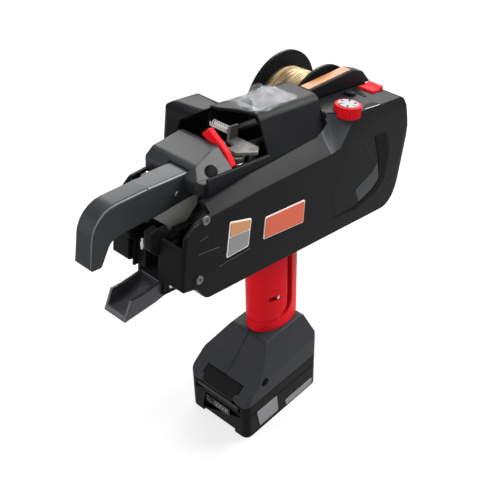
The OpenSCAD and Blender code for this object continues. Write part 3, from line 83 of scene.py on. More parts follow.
class ToolColours(PropertyGroup):
    """Colours of the tool's finishes."""
    shell: FloatVectorProperty(
        name="Shell", description="Black moulded shell", subtype="COLOR",
        default=(0.0050, 0.0052, 0.0057), min=0, max=1)
    satin: FloatVectorProperty(
        name="Satin grey", description="Dark grey satin plastic", subtype="COLOR",
        default=(0.0110, 0.0115, 0.0124), min=0, max=1)
    red: FloatVectorProperty(
        name="Red", description="Red grip, trigger and controls", subtype="COLOR",
        default=(0.38, 0.0052, 0.0090), min=0, max=1)
    steel: FloatVectorProperty(
        name="Steel", description="Bright steel", subtype="COLOR",
        default=(0.46, 0.45, 0.43), min=0, max=1)
    wire: FloatVectorProperty(
        name="Wire", description="Oiled tie wire", subtype="COLOR",
        default=(0.30, 0.215, 0.11), min=0, max=1)
    plate: FloatVectorProperty(
        name="Side plate", description="Orange-red bare side plate", subtype="COLOR",
        default=(0.32, 0.056, 0.026), min=0, max=1)
    strip: FloatVectorProperty(
        name="Strip", description="Tan strip on the reel guard", subtype="COLOR",
        default=(0.15, 0.058, 0.012), min=0, max=1)


class ToolSizes(PropertyGroup):
    """Sizes of the pieces that the scene adds."""
    wire_loops: IntProperty(
        name="Wire loops", description="Loops in the reel's outer layer",
        default=17, min=8, max=24)
    wire_d: FloatProperty(
        name="Wire diameter", description="Diameter of the tie wire", unit="LENGTH",
        default=0.0012, min=0.0006, max=0.0014)
    spring_wire: FloatProperty(
        name="Spring wire", description="Diameter of the spring's wire", unit="LENGTH",
        default=0.0009, min=0.0006, max=0.0012)
    film_rise: FloatProperty(
        name="Film creases", description="Height of the film's creases", unit="LENGTH",
        default=0.0034, min=0, max=0.006)
    floor: FloatProperty(
        name="Floor", description="Side of the floor", unit="LENGTH",
        default=30.0, min=2, max=60)


def colours():
    return bpy.context.scene.tying_tool_colours


def sizes():
    return bpy.context.scene.tying_tool_sizes


# Node helpers

def node_of(tree, kind, place=(0, 0), **values):
    """Adds a node and sets its sockets and properties by name."""
    made = tree.nodes.new(kind)
    made.location = place
    for key, value in values.items():
        socket = key.replace("_", " ")
        match = [s for s in made.inputs if s.name.lower() == socket.lower()]
        if match:
            match[0].default_value = value
        else:
            setattr(made, key, value)
    return made


def blank_material(name):
    made = bpy.data.materials.new(name)
    made.use_nodes = True
    tree = made.node_tree
    tree.nodes.clear()
    out = node_of(tree, "ShaderNodeOutputMaterial", (900, 0))
    shader = node_of(tree, "ShaderNodeBsdfPrincipled", (600, 0))
    tree.links.new(shader.outputs[0], out.inputs[0])
    return made, tree, shader


def object_coords(tree, stretch=(1, 1, 1)):
    """Object coordinates, stretched where a finish has a direction."""
    coords = node_of(tree, "ShaderNodeTexCoord", (-1200, 0))
    mapping = node_of(tree, "ShaderNodeMapping", (-1000, 0), Scale=stretch)
    tree.links.new(coords.outputs["Object"], mapping.inputs["Vector"])
    return mapping.outputs["Vector"]


def toned(rgb, by):
    """A colour made darker or lighter."""
    return tuple(min(1.0, c * by) for c in rgb)


def shade(rgb, by):
    """A toned colour as a socket takes it."""
    return toned(rgb, by) + (1.0,)


def tones(rgb, spread):
    """The dark and the light tone on both sides of a colour."""
    return shade(rgb, 1 - spread), shade(rgb, 1 + spread)


# Sockets of a Mix node that mixes colours
MIX_FACTOR, MIX_A, MIX_B, MIX_RESULT = 0, 6, 7, 2


def two_tone(tree, factor, dark, light, shader):
    """Colour that wanders between two tones of one finish."""
    mix = node_of(tree, "ShaderNodeMix", (200, 200), data_type="RGBA")
    mix.inputs[MIX_A].default_value = dark
    mix.inputs[MIX_B].default_value = light
    tree.links.new(factor, mix.inputs[MIX_FACTOR])
    tree.links.new(mix.outputs[MIX_RESULT], shader.inputs["Base Color"])
    return mix.outputs[MIX_RESULT]


BEVEL_SAMPLES = 4
MASK_START, MASK_FULL = 0.995, 0.86


def edge_normal(tree, radius):
    """Normal that turns softly over the edges of a hard solid."""
    soft = node_of(tree, "ShaderNodeBevel", (-100, -500), samples=BEVEL_SAMPLES, Radius=radius)
    return soft.outputs["Normal"]


def edge_mask(tree, soft):
    """1 along edges, where the softened normal leaves the face's own."""
    face = node_of(tree, "ShaderNodeNewGeometry", (-100, -700))
    dot = node_of(tree, "ShaderNodeVectorMath", (100, -700), operation="DOT_PRODUCT")
    tree.links.new(soft, dot.inputs[0])
    tree.links.new(face.outputs["Normal"], dot.inputs[1])
    mask = node_of(tree, "ShaderNodeMapRange", (300, -700))
    mask.inputs["From Min"].default_value = MASK_START
    mask.inputs["From Max"].default_value = MASK_FULL
    tree.links.new(dot.outputs["Value"], mask.inputs["Value"])
    return mask.outputs["Result"]


def noise_of(tree, place, spot, scale, detail, rough=0.5):
    """Value of a noise pattern at a place."""
    made = node_of(tree, "ShaderNodeTexNoise", spot, Scale=scale, Detail=detail, Roughness=rough)
    tree.links.new(place, made.inputs["Vector"])
    return made.outputs["Fac"]


def uneven_gloss(tree, factor, rough, spread, shader):
    """Roughness that wanders round its middle value."""
    gloss = node_of(tree, "ShaderNodeMapRange", (200, -100),
                    To_Min=rough + spread[0], To_Max=rough + spread[1])
    tree.links.new(factor, gloss.inputs["Value"])
    tree.links.new(gloss.outputs["Result"], shader.inputs["Roughness"])


def fine_relief(tree, height, strength, depth, shader, normal=None):
    """Fine bumps, laid over a softened normal where there is one."""
    bump = node_of(tree, "ShaderNodeBump", (300, -350), Strength=strength, Distance=depth)
    tree.links.new(height, bump.inputs["Height"])
    if normal:
        tree.links.new(normal, bump.inputs["Normal"])
    tree.links.new(bump.outputs["Normal"], shader.inputs["Normal"])


# Finishes

EDGE = 0.0009
MOULD_GRAIN = 1500
MOULD_CLOUD = 28
MOULD_GLOSS = (-0.06, 0.08)
MOULD_DEPTH = 0.0003


def moulded_plastic(name, rgb, rough=0.5, grain=0.12, edge=EDGE, edge_wear_and_sheen=1.9, spread=0.16,
                    shine=0.025):
    """Moulded plastic with a fine grain, cloudy tone and soft edges, whose edges are painted lighter: partly
    rubbed wear, partly a painted highlight.
    """
    made, tree, shader = blank_material(name)
    shader.inputs["Specular IOR Level"].default_value = shine
    place = object_coords(tree)
    cloud = noise_of(tree, place, (-700, 200), MOULD_CLOUD, detail=5, rough=0.6)
    fine = noise_of(tree, place, (-700, -200), MOULD_GRAIN, detail=2)
    tone = two_tone(tree, cloud, *tones(rgb, spread), shader)
    soft = edge_normal(tree, edge)
    # The edges are mixed towards a lighter tone: partly rubbed wear, partly a painted highlight
    edge_wear_and_sheen_mix = node_of(tree, "ShaderNodeMix", (400, 300), data_type="RGBA")
    edge_wear_and_sheen_mix.inputs[MIX_B].default_value = shade(rgb, edge_wear_and_sheen)
    tree.links.new(edge_mask(tree, soft), edge_wear_and_sheen_mix.inputs[MIX_FACTOR])
    tree.links.new(tone, edge_wear_and_sheen_mix.inputs[MIX_A])
    tree.links.new(edge_wear_and_sheen_mix.outputs[MIX_RESULT], shader.inputs["Base Color"])
    uneven_gloss(tree, cloud, rough, MOULD_GLOSS, shader)
    fine_relief(tree, fine, grain, MOULD_DEPTH, shader, soft)
    return made


BRUSH_STRETCH = (900, 120, 120)
BRUSH_SCALE = 3.0
BRUSH_GLOSS = (-0.1, 0.12)
BRUSH_RELIEF, BRUSH_DEPTH = 0.08, 0.0002


def brushed_metal(name, rgb, rough=0.34, metallic=1.0, spread=0.2):
    """Metal with fine drawn scratches and soft edges."""
    made, tree, shader = blank_material(name)
    shader.inputs["Metallic"].default_value = metallic
    place = object_coords(tree, BRUSH_STRETCH)
    scratch = noise_of(tree, place, (-700, 0), BRUSH_SCALE, detail=4, rough=0.65)
    two_tone(tree, scratch, *tones(rgb, spread), shader)
    uneven_gloss(tree, scratch, rough, BRUSH_GLOSS, shader)
    fine_relief(tree, scratch, BRUSH_RELIEF, BRUSH_DEPTH, shader, edge_normal(tree, EDGE / 2))
    return made


WIRE_METAL, WIRE_ROUGH = 0.75, 0.42
WIRE_STRETCH, WIRE_SCALE = (40, 330, 40), 1.0
WIRE_PATCH = (0.34, 0.66)
WIRE_DARK, WIRE_LIGHT = 0.12, 1.5


def tie_wire(name, rgb):
    """Annealed wire with oil and a little rust in its tone."""
    made, tree, shader = blank_material(name)
    shader.inputs["Metallic"].default_value = WIRE_METAL
    shader.inputs["Roughness"].default_value = WIRE_ROUGH
    place = object_coords(tree, WIRE_STRETCH)
    patch = noise_of(tree, place, (-700, 0), WIRE_SCALE, detail=4, rough=0.6)
    spread = node_of(tree, "ShaderNodeMapRange", (-200, 0),
                     From_Min=WIRE_PATCH[0], From_Max=WIRE_PATCH[1])
    tree.links.new(patch, spread.inputs["Value"])
    two_tone(tree, spread.outputs["Result"], shade(rgb, WIRE_DARK), shade(rgb, WIRE_LIGHT), shader)
    return made


FILM_GREY = (0.13, 0.14, 0.147, 1)
FILM_ROUGH, FILM_SHINE = 0.22, 0.22
CREASE_WIDTH, CREASE_GLINT = 0.16, 3.2
CREASE_RELIEF, CREASE_DEPTH = 0.5, 0.0012


def clear_film(name, veil, scale):
    """Thin clear plastic: see-through, and whiter along its creases as a painted highlight."""
    made, tree, shader = blank_material(name)
    shader.inputs["Base Color"].default_value = FILM_GREY
    shader.inputs["Roughness"].default_value = FILM_ROUGH
    shader.inputs["Specular IOR Level"].default_value = FILM_SHINE
    crease = node_of(tree, "ShaderNodeTexVoronoi", (-700, 0),
                     feature="DISTANCE_TO_EDGE", Scale=scale)
    tree.links.new(object_coords(tree), crease.inputs["Vector"])
    # Whiter where the creases run: a painted highlight
    veil_and_glint = node_of(tree, "ShaderNodeMapRange", (200, -100), From_Min=0.0, From_Max=CREASE_WIDTH,
                   To_Min=veil * CREASE_GLINT, To_Max=veil)
    tree.links.new(crease.outputs["Distance"], veil_and_glint.inputs["Value"])
    tree.links.new(veil_and_glint.outputs["Result"], shader.inputs["Alpha"])
    fine_relief(tree, crease.outputs["Distance"], CREASE_RELIEF, CREASE_DEPTH, shader)
    return made


PLATE_CLOUD = 60
PLATE_SHINE = 0.12
PLATE_RELIEF, PLATE_DEPTH = 0.05, 0.0003


def printed_plate(name, rgb, rough=0.38, spread=0.07):
    """Smooth coloured plate with a faint unevenness and no print."""
    made, tree, shader = blank_material(name)
    shader.inputs["Specular IOR Level"].default_value = PLATE_SHINE
    shader.inputs["Roughness"].default_value = rough
    cloud = noise_of(tree, object_coords(tree), (-700, 0), PLATE_CLOUD, detail=3)
    two_tone(tree, cloud, *tones(rgb, spread), shader)
    fine_relief(tree, cloud, PLATE_RELIEF, PLATE_DEPTH, shader)
    return made


def make_finishes():
    """The tool's finishes by name."""
    c = colours()
    return {
        "shell": moulded_plastic("shell_black", c.shell, rough=0.34, grain=0.10, edge=0.0014),
        "arm": moulded_plastic("arm_black", toned(c.shell, 3.3), rough=0.36, grain=0.07,
                               shine=0.06),
        # Painted highlight for the middle of the arm's rounded edges
        "arm_painted_highlight": moulded_plastic("arm_painted_highlight", toned(c.shell, 13), rough=0.30, grain=0.05,
                                    shine=0.20),
        "satin": moulded_plastic("satin_grey", c.satin, rough=0.38, grain=0.08, edge_wear_and_sheen=2.0,
                                 shine=0.09),
        "red": moulded_plastic("satin_red", c.red, rough=0.38, grain=0.06, edge_wear_and_sheen=1.15,
                               spread=0.08, edge=0.0014),
        # Lighter grey, laid on the facet below the dial as painted light, and on the rear ledge
        "lighter_grey": moulded_plastic("lighter_grey_plastic", toned(c.shell, 4.6), rough=0.42, grain=0.10,
                                 shine=0.06),
        "foot": moulded_plastic("foot_grey", toned(c.shell, 3.6), rough=0.42, grain=0.10,
                                shine=0.05),
        "reel": moulded_plastic("reel_black", toned(c.shell, 0.8), rough=0.34, grain=0.05),
        # Black for the dial's printed figures, and for the painted shade of the deck's marks and the rear groove
        "ink_and_shade": moulded_plastic("ink_and_shade_black", toned(c.shell, 0.5), rough=0.55, grain=0.04),
        "steel": brushed_metal("bright_steel", c.steel),
        "sheet": brushed_metal("sheet_steel", (0.34, 0.335, 0.31), rough=0.46, metallic=0.2),
        "gun": brushed_metal("gun_metal", (0.030, 0.031, 0.034), rough=0.40, metallic=0.55),
        "coil": brushed_metal("spring_steel", (0.78, 0.78, 0.76), rough=0.32, metallic=0.3),
        "bracket": brushed_metal("bracket_steel", (0.15, 0.145, 0.135), rough=0.42, metallic=0.7),
        "dark": brushed_metal("dark_metal", (0.10, 0.10, 0.105), rough=0.45, metallic=0.9),
        "wire": tie_wire("tie_wire", c.wire),
        # The wire below the outer loops and the wound core: darker as painted shade
        "shaded_wire": tie_wire("tie_wire_shaded", toned(c.wire, 0.3)),
        "clear": clear_film("clear_panel", 0.06, 30),
        "film": clear_film("clear_film", 0.034, 75),
        "plate": printed_plate("plate_orange", c.plate),
        "tan": printed_plate("label_tan", (0.30, 0.14, 0.06), rough=0.45),
        "strip": printed_plate("strip_tan", c.strip, rough=0.45),
        "pale": printed_plate("disc_pale", (0.13, 0.115, 0.115), rough=0.5),
        "border": printed_plate("border_pale", (0.48, 0.45, 0.43), rough=0.4),
        "board": printed_plate("board_green", (0.03, 0.13, 0.06), rough=0.5),
        "silver": printed_plate("plate_silver", (0.125, 0.125, 0.13), rough=0.34),
        "lamp": printed_plate("gauge_lamp", (0.16, 0.17, 0.16), rough=0.2),
    }


FINISH = {}
SLOT_FINISH = {
    "black_shell": "shell", "grey_plastic": "satin", "red_plastic": "red", "bright_steel": "steel",
    "dark_metal": "dark", "reel_plastic": "reel", "tie_wire": "wire", "clear_plastic": "clear",
    "pale_plate": "pale", "board": "board",
}
NODE_FINISH = {
    "wire_arm": "arm", "lower_guide": "gun", "nose_plates": "sheet", "gear_bracket": "bracket",
    "body_screws": "dark", "wound_core": "shaded_wire",
    "left_foot_shell": "foot", "right_foot_shell": "foot",
}


# Mesh helpers

MERGE = 1e-6
TURN = math.radians(40)
# A plate's rim is this part of its thickness
RIM_PART = 3
CORNER_STEPS, RIM_STEPS = 4, 2


def corner_normals(bm):
    """Normals that leave large faces flat and turn over the narrow ones beside them."""
    bm.normal_update()
    bm.faces.index_update()
    areas = [face.calc_area() for face in bm.faces]
    reach = math.cos(TURN)
    found = []
    for face in bm.faces:
        for corner in face.loops:
            total = Vector()
            for other in corner.vert.link_faces:
                if other.normal.dot(face.normal) > reach:
                    total += other.normal * areas[other.index]
            found.append(total.normalized() if total.length else face.normal.copy())
    return found


def finish_piece(name, bm, body, finish, place, merge=True, more=()):
    """Turns a bmesh into a piece that rides on a body, with its place in its mesh."""
    if merge:
        bmesh.ops.remove_doubles(bm, verts=bm.verts, dist=MERGE)
    bmesh.ops.recalc_face_normals(bm, faces=bm.faces)
    bmesh.ops.transform(bm, matrix=place, verts=bm.verts)
    mesh = bpy.data.meshes.new(name)
    normals = corner_normals(bm)
    bm.to_mesh(mesh)
    bm.free()
    mesh.shade_smooth()
    mesh.normals_split_custom_set(normals)
    piece = bpy.data.objects.new(name, mesh)
    bpy.context.scene.collection.objects.link(piece)
    for key in (finish,) + tuple(more):
        mesh.materials.append(FINISH[key])
    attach(piece, body)
    return piece


def outline_face(bm, points):
    return bm.faces.new([bm.verts.new(p) for p in points])


def thicken(bm, faces, way):
    """Extrudes flat faces along a vector into a closed plate."""
    grown = bmesh.ops.extrude_face_region(bm, geom=faces)
    verts = [v for v in grown["geom"] if isinstance(v, bmesh.types.BMVert)]
    bmesh.ops.translate(bm, verts=verts, vec=way)
    return verts


def join_bmesh(target, source):
    """Adds one bmesh to another."""
    mesh = bpy.data.meshes.new("joined")
    source.to_mesh(mesh)
    source.free()
    target.from_mesh(mesh)
    bpy.data.meshes.remove(mesh)


def rounded_rect(half_w, half_h, radius, steps=5):
    """Corner points of a rectangle with round corners, counter-clockwise."""
    points = []
    for k, (sx, sy) in enumerate(((1, 1), (-1, 1), (-1, -1), (1, -1))):
        for i in range(steps + 1):
            turn = math.pi / 2 * (k + i / steps)
            points.append((sx * (half_w - radius) + radius * math.cos(turn),
                           sy * (half_h - radius) + radius * math.sin(turn)))
    return points


def round_plate(points, way, radius, rim):
    """A plate with round corners through points of one plane, thick along way."""
    bm = bmesh.new()
    outline_face(bm, points)
    bmesh.ops.bevel(bm, geom=list(bm.verts), offset=radius, offset_type="OFFSET",
                    segments=CORNER_STEPS, profile=0.5, affect="VERTICES", material=-1)
    bm.faces.ensure_lookup_table()
    top = set(thicken(bm, bm.faces[:], way))
    bmesh.ops.recalc_face_normals(bm, faces=bm.faces)
    bmesh.ops.bevel(bm, geom=[e for e in bm.edges if top.issuperset(e.verts)], offset=rim,
                    offset_type="OFFSET", segments=RIM_STEPS, profile=0.5, affect="EDGES",
                    material=-1)
    return bm


def shrink(corners, by):
    """Corners of a four-sided field moved towards its middle along both axes."""
    mid = [sum(c[k] for c in corners) / len(corners) for k in (0, 1)]
    return [tuple(c[k] - math.copysign(by, c[k] - mid[k]) for k in (0, 1)) for c in corners]


def digit_bmesh(mark, size, depth):
    """A flat raised figure, centred on its place."""
    curve = bpy.data.curves.new("figure", "FONT")
    curve.body = mark
    curve.size = size
    curve.extrude = depth / 2
    curve.align_x = "CENTER"
    curve.align_y = "CENTER"
    holder = bpy.data.objects.new("figure", curve)
    bpy.context.scene.collection.objects.link(holder)
    final = holder.evaluated_get(bpy.context.evaluated_depsgraph_get())
    mesh = bpy.data.meshes.new_from_object(final)
    bm = bmesh.new()
    bm.from_mesh(mesh)
    bpy.data.objects.remove(holder)
    bpy.data.curves.remove(curve)
    bpy.data.meshes.remove(mesh)
    return bm


def helix(radius, tube_r, pitch, loops, steps, sides, cent, start=0.0):
    """One unbroken tube wound round an axis across the tool, spun from a small ring."""
    bm = bmesh.new()
    axis = Vector(ACROSS)
    out = axis.orthogonal().normalized()
    ring = bmesh.ops.create_circle(bm, cap_ends=False, segments=sides, radius=tube_r)["verts"]
    upright = Matrix((out, axis, out.cross(axis))).transposed().to_4x4()
    place = Matrix.Translation(Vector(cent) + out * radius + axis * start) @ upright
    bmesh.ops.transform(bm, matrix=place, verts=ring)
    bmesh.ops.spin(bm, geom=list(bm.verts) + list(bm.edges), cent=cent, axis=axis,
                   dvec=axis * (pitch / steps), angle=FULL_TURN * loops, steps=int(loops * steps),
                   use_merge=False)
    bmesh.ops.holes_fill(bm, edges=[e for e in bm.edges if e.is_boundary], sides=sides)
    return bm


# Operators

class TYINGTOOL_OT_stage(Operator):
    """Sets the floor, soft lights and the camera"""
    bl_idname = "tyingtool.stage"
    bl_label = "Stage"

    FOCAL_MM = 64.8
    SENSOR_MM = 36.0
    EYE = Vector((0.4436, 0.4164, 0.6667))
    AZIMUTH = math.radians(43.34)
    ELEVATION = math.radians(38.72)
    ROLL = math.radians(-1.35)
    CLIP_START = 0.01

    FLOOR_WHITE = (0.4, 0.4, 0.4, 1)
    FLOOR_ROUGH, FLOOR_SHINE = 0.8, 0.1
    FLOOR_GLOW = 0.72
    SKY_LIGHT = 0.13

    # Each lamp's name, place, power in watts and size
    AIM = (0.0, 0.0, 0.2)
    LAMPS = (("top_light", (0.10, -0.10, 1.55), 27, (1.2, 1.2)),
             ("band_light", (-1.08, 0.48, 1.08), 62, (0.8, 0.8)),
             ("rim_light", (-0.95, -0.69, 0.84), 36, (1.3, 0.6)),
             ("front_light", (1.10, -0.75, 0.64), 12, (0.9, 1.0)),
             ("left_light", (1.35, 0.42, 0.85), 11, (0.6, 0.6)),
             ("shoulder_light", (0.52, 1.10, 0.78), 5, (0.5, 0.5)))

    def floor_material(self):
        """Pale floor that takes shadows and looks white to camera, mirror and glass."""
        made, tree, shader = blank_material("floor_pale")
        shader.inputs["Base Color"].default_value = self.FLOOR_WHITE
        shader.inputs["Roughness"].default_value = self.FLOOR_ROUGH
        shader.inputs["Specular IOR Level"].default_value = self.FLOOR_SHINE
        out = next(n for n in tree.nodes if n.type == "OUTPUT_MATERIAL")
        glow = node_of(tree, "ShaderNodeEmission", (600, -500), Strength=1.0)
        path = node_of(tree, "ShaderNodeLightPath", (0, -500))
        seen = node_of(tree, "ShaderNodeMath", (200, -500), operation="MAXIMUM")
        also = node_of(tree, "ShaderNodeMath", (400, -500), operation="MAXIMUM")
        share = node_of(tree, "ShaderNodeMath", (500, -650), operation="MULTIPLY")
        share.inputs[1].default_value = self.FLOOR_GLOW
        tree.links.new(path.outputs["Is Camera Ray"], seen.inputs[0])
        tree.links.new(path.outputs["Is Glossy Ray"], seen.inputs[1])
        tree.links.new(seen.outputs[0], also.inputs[0])
        tree.links.new(path.outputs["Is Transmission Ray"], also.inputs[1])
        tree.links.new(also.outputs[0], share.inputs[0])
        mix = node_of(tree, "ShaderNodeMixShader", (800, -300))
        tree.links.new(share.outputs[0], mix.inputs[0])
        tree.links.new(shader.outputs[0], mix.inputs[1])
        tree.links.new(glow.outputs[0], mix.inputs[2])
        tree.links.new(mix.outputs[0], out.inputs[0])
        return made

    def floor(self):
        bm = bmesh.new()
        bmesh.ops.create_grid(bm, x_segments=1, y_segments=1, size=sizes().floor / 2)
        mesh = bpy.data.meshes.new("floor")
        bm.to_mesh(mesh)
        bm.free()
        mesh.materials.append(self.floor_material())
        made = bpy.data.objects.new("floor", mesh)
        bpy.context.scene.collection.objects.link(made)

    def lamp(self, name, place, watts, size):
        data = bpy.data.lights.new(name, "AREA")
        data.energy = watts
        data.shape = "RECTANGLE"
        data.size, data.size_y = size
        made = bpy.data.objects.new(name, data)
        made.location = place
        way = Vector(self.AIM) - Vector(place)
        made.rotation_euler = way.to_track_quat("-Z", "Y").to_euler()
        bpy.context.scene.collection.objects.link(made)

    def camera(self):
        back = Vector((math.cos(self.ELEVATION) * math.cos(self.AZIMUTH),
                       math.cos(self.ELEVATION) * math.sin(self.AZIMUTH), math.sin(self.ELEVATION)))
        level = Vector((-math.sin(self.AZIMUTH), math.cos(self.AZIMUTH), 0))
        rise = back.cross(level)
        right = level * math.cos(self.ROLL) + rise * math.sin(self.ROLL)
        up = rise * math.cos(self.ROLL) - level * math.sin(self.ROLL)
        data = bpy.data.cameras.new("photo_camera")
        data.sensor_width = self.SENSOR_MM
        data.lens = self.FOCAL_MM
        data.clip_start = self.CLIP_START
        made = bpy.data.objects.new("photo_camera", data)
        turn = Matrix((right, up, back)).transposed().to_4x4()
        made.matrix_world = Matrix.Translation(self.EYE) @ turn
        bpy.context.scene.collection.objects.link(made)
        bpy.context.scene.camera = made

    def world(self):
        world = bpy.context.scene.world or bpy.data.worlds.new("studio")
        bpy.context.scene.world = world
        world.use_nodes = True
        tree = world.node_tree
        tree.nodes.clear()
        out = node_of(tree, "ShaderNodeOutputWorld", (400, 0))
        sky = node_of(tree, "ShaderNodeBackground", (100, 0), Color=(1, 1, 1, 1),
                      Strength=self.SKY_LIGHT)
        tree.links.new(sky.outputs[0], out.inputs[0])

    def execute(self, context):
        bpy.context.scene.view_settings.view_transform = "Standard"
        self.camera()
        self.floor()
        self.world()
        for row in self.LAMPS:
            self.lamp(*row)
        return {"FINISHED"}


class TYINGTOOL_OT_solid_finishes(Operator):
    """Gives every solid of the model its finish"""
    bl_idname = "tyingtool.solid_finishes"
    bl_label = "Solid finishes"

    def execute(self, context):
        FINISH.update(make_finishes())
        for row in frame["record"]["subparts"]:
            node = frame["nodes"][row["node"]]
            finish = FINISH[NODE_FINISH.get(row["node"], SLOT_FINISH[row["material_slot"]])]
            if node.material_slots:
                node.material_slots[0].material = finish
            else:
                node.data.materials.append(finish)
        return {"FINISHED"}


class TYINGTOOL_OT_round_shells(Operator):
    """Rounds the edges of the moulded shells"""
    bl_idname = "tyingtool.round_shells"
    bl_label = "Rounded shells"

    FLAT = math.radians(0.6)
    CORNER = math.radians(34)
    SEGMENTS = 3
    LEAST = 0.9
    ROUNDS = (("wire_arm", 0.0024), ("front_boss", 0.0012), ("hood", 0.0010),
              ("reel_guard", 0.0018), ("left_contact", 0.0009), ("right_contact", 0.0009),
              ("release_lever", 0.0010), ("lower_guide", 0.0005), ("lower_case", 0.0012),
              ("feed_motor_cover", 0.0012), ("left_body_shell", 0.0006),
              ("right_body_shell", 0.0006), ("left_foot_shell", 0.0009),
              ("right_foot_shell", 0.0009), ("upper_case", 0.0008))

    # The facet below the dial gets a lighter grey finish than the shell, as painted light
    SHOULDER_NODE = "left_body_shell"
    PAINTED_LIGHT_WAY = Vector((0.503, 0.700, 0.510)).normalized()
    SHOULDER_NEAR = 0.90

    # The middle faces of the arm's rounded edges get a lighter finish, as a painted highlight
    HIGHLIGHT_NODE = "wire_arm"
    LONG_EDGE = 0.6

    def rounded_copy(self, node, radius):
        """A copy of a solid with its sharp edges rounded, and the faces that round them."""
        bm = bmesh.new()
        bm.from_mesh(frame["nodes"][node].data)
        bmesh.ops.remove_doubles(bm, verts=bm.verts, dist=MERGE)
        bmesh.ops.dissolve_limit(bm, angle_limit=self.FLAT, verts=bm.verts, edges=bm.edges)
        sharp = [e for e in bm.edges if e.is_convex and e.calc_face_angle(0) > self.CORNER
                 and e.calc_length() > radius * self.LEAST]
        made = bmesh.ops.bevel(bm, geom=sharp, offset=radius, offset_type="OFFSET",
                               segments=self.SEGMENTS, profile=0.5, affect="EDGES",
                               clamp_overlap=False, material=-1)
        return bm, set(made["faces"])

    def is_painted_lit_facet(self, face):
        way = BODY.to_3x3() @ self.PAINTED_LIGHT_WAY
        return face.normal.dot(way) > self.SHOULDER_NEAR

    def is_middle(self, face, turned):
        """Whether a face of a rounded edge has others of that edge on both its long sides."""
        least = max(edge.calc_length() for edge in face.edges) * self.LONG_EDGE
        sides = [edge for edge in face.edges if edge.calc_length() > least]
        return all(other in turned for edge in sides for other in edge.link_faces)

    def execute(self, context):
        rows = {row["node"]: row for row in frame["record"]["subparts"]}
        bodies = frame["record"]["behaviour"]["bodies"]
        body_of = {node: body for body, nodes in bodies.items() for node in nodes}
        for node, radius in self.ROUNDS:
            bm, turned = self.rounded_copy(node, radius)
            slot = rows[node]["material_slot"]
            finish = NODE_FINISH.get(node, SLOT_FINISH[slot])
            more, other_faces = (), ()
            if node == self.SHOULDER_NODE:
                more = ("lighter_grey",)
                # Faces turned the way of the facet below the dial get the lighter grey: painted light
                other_faces = [face for face in bm.faces if self.is_painted_lit_facet(face)]
            elif node == self.HIGHLIGHT_NODE:
                # These middle faces take the lighter finish as a painted highlight
                more = ("arm_painted_highlight",)
                other_faces = [face for face in turned if self.is_middle(face, turned)]
            for face in other_faces:
                face.material_index = 1
            piece = finish_piece(node + "_rounded", bm, body_of[node], finish, GROUND,
                                 more=more)
            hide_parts(node)
        return {"FINISHED"}


class TYINGTOOL_OT_wound_wire(Operator):
    """Winds the tie wire on the reel"""
    bl_idname = "tyingtool.wound_wire"
    bl_label = "Wound wire"

    STEPS = 48
    SIDES = 6
    END_GAP = 0.0008
    # The layer below, darker as painted shade: how far down in wire diameters, and how many loops more
    DEEP_DROP, DEEP_MORE = 0.78, 9
    # Loose strands on top: start and turns, and how far each runs across the winding
    LOOSE_RISE = 0.45
    LOOSE = ((0.1, 1.3, 0.55), (0.42, 1.1, -0.4), (0.75, 1.4, -0.6))

    def execute(self, context):
        low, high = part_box("wound_wire")
        middle = Vector(JOINTS["reel_spin"]["pos_m"])
        wire = sizes().wire_d
        radius = (high.x - low.x) / 2 - wire / 2
        span = high.y - low.y - wire - self.END_GAP * 2
        start = Vector((middle.x, low.y + wire / 2 + self.END_GAP, middle.z))
        loops = sizes().wire_loops
        tube = (self.STEPS, self.SIDES, start)
        bm = helix(radius, wire / 2, span / loops, loops, *tube)
        for share, turns, reach in self.LOOSE:
            begin = span * (share if reach > 0 else 1 - share / 2)
            join_bmesh(bm, helix(radius + wire * self.LOOSE_RISE, wire / 2, span * reach / turns,
                                 turns, *tube, begin))
        more = loops + self.DEEP_MORE
        deep = helix(radius - wire * self.DEEP_DROP, wire / 2, -span / more, more, *tube, span)
        # The lower layer's darker finish is painted shade
        for face in deep.faces:
            face.material_index = 1
        join_bmesh(bm, deep)
        piece = finish_piece("wire_winding", bm, "reel", "wire", GROUND,
                             merge=False, more=("shaded_wire",))
        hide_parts("wound_wire")
        return {"FINISHED"}


class TYINGTOOL_OT_feed_spring(Operator):
    """Coils the spring of the feed bracket"""
    bl_idname = "tyingtool.feed_spring"
    bl_label = "Feed spring"

    CURLS = 9
    STEPS = 24
    SIDES = 8

    def execute(self, context):
        low, high = (Vector(p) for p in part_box("feed_spring"))
        wire = sizes().spring_wire
        middle = (low + high) / 2
        radius = (high.z - low.z) / 2 - wire / 2
        start = Vector((middle.x, low.y + wire / 2, middle.z))
        span = high.y - low.y - wire
        bm = helix(radius, wire / 2, span / self.CURLS, self.CURLS, self.STEPS, self.SIDES, start)
        piece = finish_piece("spring_coil", bm, "tool", "coil", GROUND, merge=False)
        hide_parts("feed_spring")
        return {"FINISHED"}


